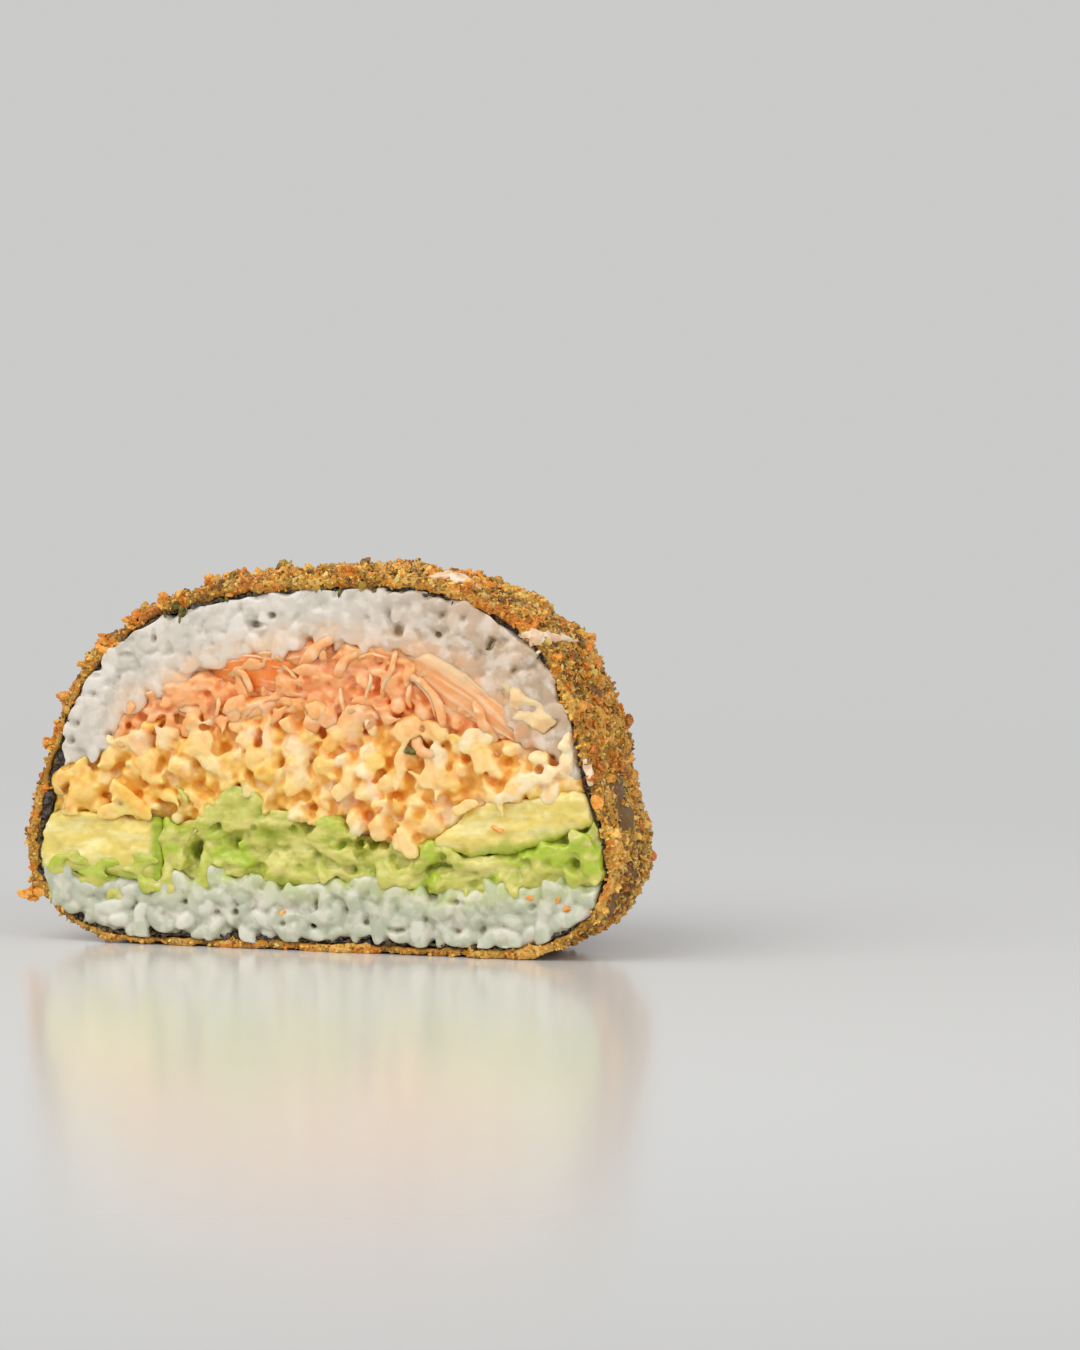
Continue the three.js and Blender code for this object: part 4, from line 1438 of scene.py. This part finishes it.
# The loose flesh of the salmon lies between these two lines of x and z
SHRED_TOP = (
    (-37, 39), (-30, 43), (-24, 45.5), (-18, 45), (-11, 43.4), (-5.5, 43.6), (-2, 47.5), (3, 51), (9, 50.5),
    (14, 47.4), (20, 44.6), (26, 40.6), (33, 36),
)  # fmt: skip
SHRED_FOOT = (
    (-38, 33.5), (-31, 35), (-25, 37), (-19, 38), (-12, 38.5), (-6, 38), (-1, 38.5), (4, 39.5), (9, 39),
    (14, 38), (19, 37), (26, 35.5), (32, 33.5),
)  # fmt: skip
SALMON_LOOK = {
    "margin": 0.2, "stand": 0.7, "firmness": 0.6, "voxel": 0.24, "closing": 0.12, "torn": 0.12, "torn_size": 1.4,
    "reach": 1.5, "span": 1.2, "seed": 83, "flakes": ((4.8, -40, 1.7, 1.4, 0.5), (2.0, 30, 1.6, 0.7, 0.25)),
}  # fmt: skip
SALMON_SLABS = (
    # how deep an orange the slab has, then x, depth, z, half width, half thickness and roll of each point
    (0.97, (-19.5, 1.7, 46.8, 1.6, 0.9, 0), (-15.0, 1.2, 47.0, 2.9, 1.1, -8), (-10.0, 1.0, 46.6, 3.4, 1.2, -10),
        (-5.8, 1.2, 45.8, 3.3, 1.1, -8), (-2.2, 1.9, 44.6, 2.6, 0.9, 0)),
    (0.86, (-8.6, 1.9, 49.0, 1.4, 0.9, 0), (-4.9, 1.4, 49.7, 2.1, 1.0, 10), (-0.9, 1.4, 50.2, 2.3, 1.0, 10),
        (4.2, 1.9, 49.6, 1.9, 0.9, 5)),
    (0.78, (5.4, 1.9, 52.0, 1.4, 0.9, 0), (9.6, 1.4, 51.4, 2.1, 1.0, 8), (14.1, 1.4, 51.0, 2.2, 1.0, 8),
        (19.5, 1.8, 50.4, 1.7, 0.9, 5)),
    (0.28, (13.2, 1.8, 49.0, 1.8, 0.9, 0), (18.6, 0.9, 48.0, 3.3, 1.2, -10), (23.6, 0.5, 45.6, 3.7, 1.3, -12),
        (28.4, 0.5, 42.8, 3.2, 1.3, -12), (32.9, 0.8, 39.7, 2.3, 1.1, -8), (37.0, 1.6, 35.6, 1.1, 0.9, 0)),
    (0.22, (17.5, 1.6, 51.6, 1.2, 0.9, 0), (22.5, 0.8, 50.6, 2.0, 1.0, 10), (27.5, 0.6, 48.0, 2.3, 1.0, 12),
        (31.5, 1.2, 45.4, 1.6, 0.9, 6)),
)  # fmt: skip
SALMON_STRANDS = (
    # half thickness, then x, depth and z of each point
    (0.20, (7.0, 0.4, 49.4), (8.0, -0.5, 50.0), (10.1, -0.9, 50.6), (13.2, -0.5, 49.9)),
    (0.42, (13.9, 0.9, 52.0), (14.1, -0.7, 49.6), (13.4, -1.0, 47.2), (12.4, -0.6, 45.2), (11.7, 0.4, 43.0)),
    (0.62, (13.8, 0.6, 46.6), (17.5, -0.6, 46.8), (20.5, -1.0, 44.8), (22.6, -1.0, 41.6), (22.8, -0.7, 38.9),
        (21.3, 0.4, 37.2)),
    (0.26, (15.2, 0.0, 47.4), (18.5, -1.1, 46.0), (20.9, -1.2, 43.2), (21.6, -0.5, 40.2)),
    (0.85, (17.5, 0.6, 37.5), (18.4, -0.7, 35.4), (20.0, -1.0, 34.3), (22.9, 0.3, 34.4)),
    (0.34, (16.8, 0.5, 46.4), (16.9, -0.9, 44.6), (16.7, -0.9, 43.0), (16.8, 0.4, 41.6)),
    (0.30, (4.0, 0.4, 45.2), (4.6, -0.8, 43.2), (5.2, -0.9, 41.0), (5.4, 0.4, 38.8)),
    (0.85, (-3.6, 0.8, 47.4), (-1.4, -0.4, 49.8), (0.8, -0.6, 51.8), (3.8, 0.7, 54.2)),
    (0.75, (3.2, 0.6, 46.2), (4.4, -0.7, 48.0), (5.5, -0.9, 49.6), (7.8, 0.2, 50.9)),
    (0.95, (28.7, 0.4, 43.4), (29.5, -0.8, 41.6), (30.2, -0.9, 39.6), (32.0, 0.6, 36.2)),
    (0.55, (-13.0, 0.5, 43.2), (-12.2, -0.5, 44.6), (-12.9, -0.8, 46.4), (-14.6, -0.3, 46.9), (-15.9, 0.7, 45.8)),
    (0.30, (-3.2, 0.2, 44.4), (-3.6, -0.7, 46.0), (-5.0, -0.6, 47.6), (-6.8, 0.4, 48.4)),
    (0.24, (9.4, 0.4, 48.2), (9.9, -0.7, 46.0), (9.2, -0.8, 43.8), (8.6, 0.4, 42.0)),
    (0.22, (19.0, 0.3, 49.6), (22.0, -0.5, 49.2), (25.0, -0.6, 47.2), (27.6, 0.2, 44.6)),
    (0.30, (-18.6, 0.5, 43.6), (-17.6, -0.7, 41.8), (-17.9, -0.8, 40.0), (-19.0, 0.5, 38.6)),
)  # fmt: skip


class SUSHI_OT_salmon(bpy.types.Operator):
    """Make the salmon: loose flesh, smooth slabs and thin strands"""

    bl_idname = "sushi.salmon"
    bl_label = "Salmon"

    def execute(self, context):
        values = context.scene.sushi_filling
        rng = np.random.default_rng(81)
        flesh = salmon_finish("salmon_flesh", values, 0.5)
        shreds = [shred_shape(rng, 1.0, 0.36) for _ in range(6)]
        shreds += [chunk_shape(rng, 0.8, 0.6, 0.45, 5) for _ in range(5)]
        loose = band(SHRED_TOP, SHRED_FOOT)
        bits = bits_on(
            flesh,
            82,
            (zone_front("salmon", 2.8), shreds, 2.6, (2.4, 5.0), (0.6, 1.8), 40.0),
            (loose, shreds, 1.7, (2.8, 5.2), (0.8, 2.0), 50.0),
            (loose, shreds, 3.0, (3.0, 6.4), (1.8, 3.0), 40.0),
        )
        layer_piece("salmon_flesh", "salmon", bits, flesh, "salmon", **SALMON_LOOK)
        slabs = [self.slab(number, *row) for number, row in enumerate(SALMON_SLABS)]
        material = salmon_finish("salmon_slab", values, 0.7)
        finished("salmon_slabs", joined("salmon_slabs", *slabs), material)
        strands = [self.strand(number, *row) for number, row in enumerate(SALMON_STRANDS)]
        material = salmon_finish("salmon_strand", values, 1.0)
        finished("salmon_strands", joined("salmon_strands", *strands), material)
        return {"FINISHED"}

    def slab(self, number, shade, *path):
        """A smooth slab with fine grooves along its grain."""
        points, faces, u, v = ribbon(path, 90, 48, 0.25)
        mesh = outward(mesh_of("slab", points, faces))
        where = np.column_stack([u * 2.2, v * 7.0 + 0.6 * np.sin(u * 5.0), np.full(len(u), number * 3.7)])
        grooves = rough_noise(where, 1.0, 91, 2, 0.6)
        relief = 0.14 * grooves + 0.28 * rough_noise(points, 3.4, 92, 3)
        move_points(mesh, points + normals_of(mesh) * relief[:, None])
        # The slab's long edges take the deeper orange of the hollows: painted shade.
        store(mesh, line=0.42 + 0.5 * grooves + 0.45 * (0.8 - shade), hollow=shade - 0.05 + 0.2 * np.abs(v) ** 4)
        return mesh

    def strand(self, number, thick, *path):
        """A thin white-pink thread that lies over the filling."""
        rows = [(*spot, thick * (1.0 + 0.25 * (i % 2)), thick * 0.8, 12 * i) for i, spot in enumerate(path)]
        points, faces, _, _ = ribbon(rows, 44, 12, 0.22)
        points = points + 0.35 * thick * np.column_stack([lattice_noise(points, 1.3, number + k) for k in range(3)])
        mesh = outward(mesh_of("strand", points, faces))
        store(mesh, line=0.55 + 0.3 * lattice_noise(points, 1.1, number), hollow=0.2)
        return mesh


class SUSHI_OT_avocado(bpy.types.Operator):
    """Make the two slices of avocado"""

    bl_idname = "sushi.avocado"
    bl_label = "Avocado slices"

    def execute(self, context):
        values = context.scene.sushi_filling
        for name, source, seed, tilt in (
            ("avocado_left", "avocado_slice_left", 101, 0.0),
            ("avocado_right", "avocado_slice_right", 104, 0.24),
        ):
            skin = fused(zone(source), 0.36, 16)
            points, normals = points_of(skin), normals_of(skin)
            front = 1.0 - eased(points[:, 1], FACE + 1.0, FACE + 3.0)
            knife = lattice_noise(points * np.array([0.35, 1.0, 1.0]), 2.2, seed)
            points[:, 1] -= (0.6 + 0.3 * knife) * front
            points = points + normals * (0.75 * rough_noise(points, 4.6, seed + 1, 4, 0.6) + 0.1)[:, None]
            points = inside_wrap(points, 0.1)
            move_points(skin, points)
            level = points[:, 2] - tilt * (points[:, 0] - 35.0)
            low, high = np.percentile(level, 1), np.percentile(level, 99)
            edge = 1.0 - (level - low) / (high - low)
            if not tilt:  # the left slice is green at its right end too
                edge = np.maximum(edge, 1.1 * eased(points[:, 0], -33.5, -28.5))
            store(skin, edge=edge)
            finished(name, skin, avocado_finish(name, values), [source])
        return {"FINISHED"}


MASH_PIECES = (
    # x, depth, z, length, width, height, turn, tone
    (48.0, -0.7, 20.4, 6.2, 4.6, 3.8, -40, 1.0),
    (44.4, -0.4, 17.6, 5.6, 3.0, 3.0, 30, 1.0),
    (42.0, 0.0, 18.6, 8.4, 2.8, 3.0, 18, 0.95),
    (20.5, 0.2, 17.4, 4.4, 3.4, 2.6, 60, 0.9),
    (-27.2, 0.2, 18.6, 4.0, 7.6, 3.0, 0, 0.95),
    (-40.4, 0.2, 9.8, 8.6, 3.0, 3.0, 4, 0.95),
    (-31.0, -0.2, 10.6, 5.6, 4.2, 3.0, -8, 0.9),
    (-8.8, -0.3, 21.6, 9.0, 4.0, 3.2, 14, 0.3),
    (3.6, 0.0, 17.6, 9.4, 4.2, 3.2, -16, 0.35),
    (12.6, -0.2, 13.6, 6.0, 4.6, 3.0, 10, 0.4),
    (-15.6, -0.5, 24.6, 6.4, 4.4, 3.0, 64, 0.2),
    (-11.8, -0.6, 24.0, 6.4, 5.0, 3.0, 100, 0.5),
    (-14.4, -0.4, 21.6, 6.4, 5.0, 3.0, 20, 0.4),
    (-19.6, -0.5, 22.4, 7.2, 4.2, 3.0, 30, 0.8),
    (-6.6, -0.6, 22.8, 5.8, 3.4, 3.0, -30, 0.3),
    (-24.4, -0.6, 25.8, 5.6, 1.8, 2.2, 120, 0.75),
    (2.4, -0.6, 21.6, 6.6, 2.6, 2.6, -10, 0.85),
    (-41.0, -0.5, 12.4, 7.6, 2.2, 2.4, -6, 0.9),
    (-33.6, -0.5, 12.8, 6.4, 2.4, 2.4, 8, 0.75),
    (-47.8, -0.5, 13.4, 6.0, 3.4, 2.6, 20, 0.95),
    (-43.6, -0.7, 14.2, 5.6, 2.6, 2.6, -12, 0.7),
    (-38.0, -0.7, 13.8, 5.4, 2.4, 2.6, 12, 0.9),
    (-31.6, -0.7, 14.4, 5.6, 3.0, 2.8, -24, 0.8),
)
MASH_LOOK = {
    "stand": 0.8, "firmness": 0.5, "voxel": 0.27, "passes": 3, "closing": 0.12, "torn": 0.22, "torn_size": 1.8,
    "reach": 1.6, "span": 1.5, "seed": 113, "flakes": ((5.2, 12, 1.9, 1.4, 0.5), (2.3, -10, 1.8, 0.6, 0.2)),
    "dents": ((22.6, 16.7, 1.3, 1.0, 1.6), (6.7, 18.5, 3.8, 1.1, 1.8), (-22.6, 16.5, 1.8, 2.6, 1.8)),
}  # fmt: skip
LEFT_FOOT = (
    # the thin foot of the mash under the left slice, between these two lines of x and z
    ((-52.5, 13.4), (-44.0, 12.2), (-36.0, 11.8), (-27.0, 13.0)),
    ((-51.5, 8.6), (-44.0, 8.2), (-36.0, 8.0), (-27.0, 8.8)),
)


class SUSHI_OT_mash(bpy.types.Operator):
    """Make the mashed avocado"""

    bl_idname = "sushi.mash"
    bl_label = "Avocado mash"

    def execute(self, context):
        rng = np.random.default_rng(111)
        lumps = [chunk_shape(rng, 1.7, 0.8, 0.7, 4) for _ in range(8)]
        material = mash_finish(context.scene.sushi_filling)
        front = zone_front("avocado_mash", 2.6)
        bits = bits_on(
            material,
            112,
            (front, lumps, 3.0, (1.8, 3.6), (1.0, 2.0), 50.0),
            (front, lumps, 4.0, (3.0, 5.2), (1.2, 2.2), 30.0),
            (band(*LEFT_FOOT), lumps, 1.4, (1.6, 3.6), (0.4, 2.2), 30.0),
        )
        bits = joined("mash", bits, single_lumps(MASH_PIECES, 116))
        layer_piece("avocado_mash", "avocado_mash", bits, material, "avocado_mash", **MASH_LOOK)
        return {"FINISHED"}


SMEARS = (
    # x and z as seen on the cut, half width, and how far it stands out of the crust, in mm
    ((20.0, 63.4, 0.3, 0.6), (23.0, 63.6, 0.9, 1.0), (26.4, 63.0, 1.0, 1.0), (30.4, 61.6, 0.3, 0.5)),
    ((36.0, 54.6, 0.6, 0.6), (38.8, 53.9, 1.6, 1.1), (42.2, 53.8, 1.1, 1.0), (46.6, 53.4, 0.3, 0.6)),
    ((37.6, 52.8, 0.5, 0.6), (39.4, 51.4, 1.0, 0.9), (40.8, 49.8, 0.4, 0.5)),
    ((47.0, 35.6, 0.4, 0.6), (48.0, 33.2, 0.9, 1.0), (48.8, 30.8, 0.8, 1.0), (49.4, 28.6, 0.3, 0.5)),
)
HERBS = (
    # x, depth, z, length, width, height, turn
    (18.0, -1.2, 34.6, 3.0, 1.3, 0.7, 8),
    (-24.4, -0.2, 57.2, 2.4, 1.5, 0.8, 70),
    (-25.6, -0.1, 58.0, 2.0, 1.3, 0.8, 10),
    (-24.9, -0.2, 55.4, 1.9, 0.7, 0.6, 88),
    (-16.4, -0.1, 59.2, 1.8, 0.7, 0.6, 110),
    (-27.8, -0.1, 56.4, 1.6, 0.6, 0.6, 95),
    (4.2, -0.1, 60.9, 1.8, 1.0, 0.6, 80),
    (1.0, -0.1, 61.4, 1.5, 0.6, 0.6, 95),
    (31.2, -0.2, 52.8, 2.0, 0.8, 0.6, 60),
)
SPECKS = (
    (32.9, -1.3, 22.0, 2.6, 1.1, 0.9, -28),
    (-6.5, -0.3, 6.2, 1.7, 1.2, 1.0, 50),
    (43.4, -0.3, 10.9, 2.6, 1.2, 1.0, 78),
    (44.8, -0.2, 8.8, 1.4, 1.1, 0.9, 20),
    (38.3, -0.3, 10.4, 1.5, 1.2, 0.9, 0),
    (11.5, -1.2, 24.5, 1.4, 0.9, 0.8, 30),
)
RIM_CLUMPS = (
    # x, depth, z and size of each clump of crumbs on the left rim
    (-52.9, 0.8, 8.0, 3.6),
    (-38.9, 0.8, 51.0, 3.8),
    (-42.4, 0.8, 47.2, 2.8),
    (-50.4, 0.7, 26.0, 2.6),
    (-49.6, 0.8, 33.8, 3.0),
    (-46.4, 0.8, 41.6, 3.2),
    (-34.0, 0.8, 55.4, 2.4),
    (-28.4, 0.8, 58.8, 2.8),
    (-20.0, 0.8, 62.4, 2.4),
)


def smear(path, seed):
    """A skin over the part of the crust where the camera sees this path, thickest along the path."""
    crust = bpy.data.objects["crust"].data
    points, normals = points_of(crust), normals_of(crust)
    eye = np.array(EYE) / MM
    seen = eye + (points - eye) * ((FACE - eye[1]) / (points[:, 1] - eye[1]))[:, None]
    steps = np.linspace(0.0, len(path) - 1.0, 40)
    x, z, half, stand = (np.interp(steps, np.arange(len(path)), column) for column in zip(*path))
    share = 1.0 - np.hypot(seen[:, :1] - x, seen[:, 2:] - z) / half
    best = share.argmax(axis=1)
    share = share.max(axis=1) + 0.35 * rough_noise(points, 1.0, seed, 2)
    chosen = (share > 0.0) & (along(normals, eye - points) > 0.0)
    rise = stand[best] * np.sqrt(np.clip(share, 0.0, 1.0)) + 0.2 * lattice_noise(points, 0.9, seed + 1)
    bm = opened(crust)
    gone = [face for face in bm.faces if not all(chosen[vert.index] for vert in face.verts)]
    for vert, place in zip(bm.verts, (points + normals * rise[:, None]) * MM):
        vert.co = place
    bmesh.ops.delete(bm, geom=gone, context="FACES")
    bmesh.ops.solidify(bm, geom=bm.faces[:], thickness=0.9 * MM)
    return outward(fused(closed("smear", bm), 0.22, 3))


def clumps(rows, seed):
    """Clumps of a dozen crumbs that stick together."""
    rng = np.random.default_rng(seed)
    made = []
    for x, depth, z, size in rows:
        for _ in range(14):
            points, faces = crumb_shape(rng, 1, 0.45, (0.6, 0.9))
            points = points * size * rng.uniform(0.3, 0.6)
            points += rng.normal(0.0, 0.17, 3) * size + np.array([x, FACE + depth, z])
            made.append(mesh_of("crumb", points, faces))
            store(made[-1], tone=rng.uniform(0.2, 1.0))
    return joined("clumps", *made)


class SUSHI_OT_garnish(bpy.types.Operator):
    """Make the smears of sauce, the green flakes and the orange specks"""

    bl_idname = "sushi.garnish"
    bl_label = "Sauce and specks"

    def execute(self, context):
        sauce = plain_finish("sauce", (232, 196, 160), (244, 222, 196), 2.2, 0.4)
        herb = plain_finish("green_flake", (66, 58, 16), (124, 112, 36), 0.9, 0.5)
        speck = plain_finish("orange_speck", (232, 150, 60), (240, 182, 108), 1.2, 0.4)
        clump = crumb_finish("rim_clump", context.scene.sushi_crust, (214, 126, 22), (238, 168, 64), 0.9)
        smears = [smear(path, 121 + 2 * number) for number, path in enumerate(SMEARS)]
        herbs, specks = ([(*row, 0.5) for row in rows] for rows in (HERBS, SPECKS))
        finished("sauce_smears", joined("sauce_smears", *smears), sauce)
        finished("green_flakes", outward(single_lumps(herbs, 133, 0.5)), herb)
        finished("orange_specks", outward(single_lumps(specks, 131)), speck)
        finished("rim_clumps", clumps(RIM_CLUMPS, 132), clump, smooth=False)
        return {"FINISHED"}


class SUSHI_PT_panel(bpy.types.Panel):
    """Lists the steps and their settings"""

    bl_label = "Sushi Burger"
    bl_idname = "SUSHI_PT_panel"
    bl_space_type = "VIEW_3D"
    bl_region_type = "UI"
    bl_category = "Sushi Burger"

    def draw(self, context):
        for operator in OPERATORS:
            self.layout.operator(operator.bl_idname)
        for part in SETTINGS:
            box = self.layout.box()
            box.label(text=part.capitalize())
            values = getattr(context.scene, "sushi_" + part)
            for name in values.__annotations__:
                box.prop(values, name)


SETTINGS = {
    "stage": SushiStageSettings,
    "crust": SushiCrustSettings,
    "rice": SushiRiceSettings,
    "filling": SushiFillingSettings,
}
OPERATORS = (
    SUSHI_OT_stage,
    SUSHI_OT_crust,
    SUSHI_OT_crumbs,
    SUSHI_OT_seaweed,
    SUSHI_OT_rice,
    SUSHI_OT_salmon,
    SUSHI_OT_crab,
    SUSHI_OT_avocado,
    SUSHI_OT_mash,
    SUSHI_OT_garnish,
)


def register():
    for part in (*SETTINGS.values(), *OPERATORS, SUSHI_PT_panel):
        bpy.utils.register_class(part)
    for name, group in SETTINGS.items():
        setattr(bpy.types.Scene, "sushi_" + name, bpy.props.PointerProperty(type=group))


def unregister():
    for name in SETTINGS:
        delattr(bpy.types.Scene, "sushi_" + name)
    for part in (SUSHI_PT_panel, *OPERATORS[::-1], *list(SETTINGS.values())[::-1]):
        bpy.utils.unregister_class(part)


def main():
    register()
    bpy.ops.sushi.stage()
    bpy.ops.sushi.crust()
    bpy.ops.sushi.crumbs()
    bpy.ops.sushi.seaweed()
    bpy.ops.sushi.rice()
    bpy.ops.sushi.salmon()
    bpy.ops.sushi.crab()
    bpy.ops.sushi.avocado()
    bpy.ops.sushi.mash()
    bpy.ops.sushi.garnish()


if __name__ == "__main__":
    main()
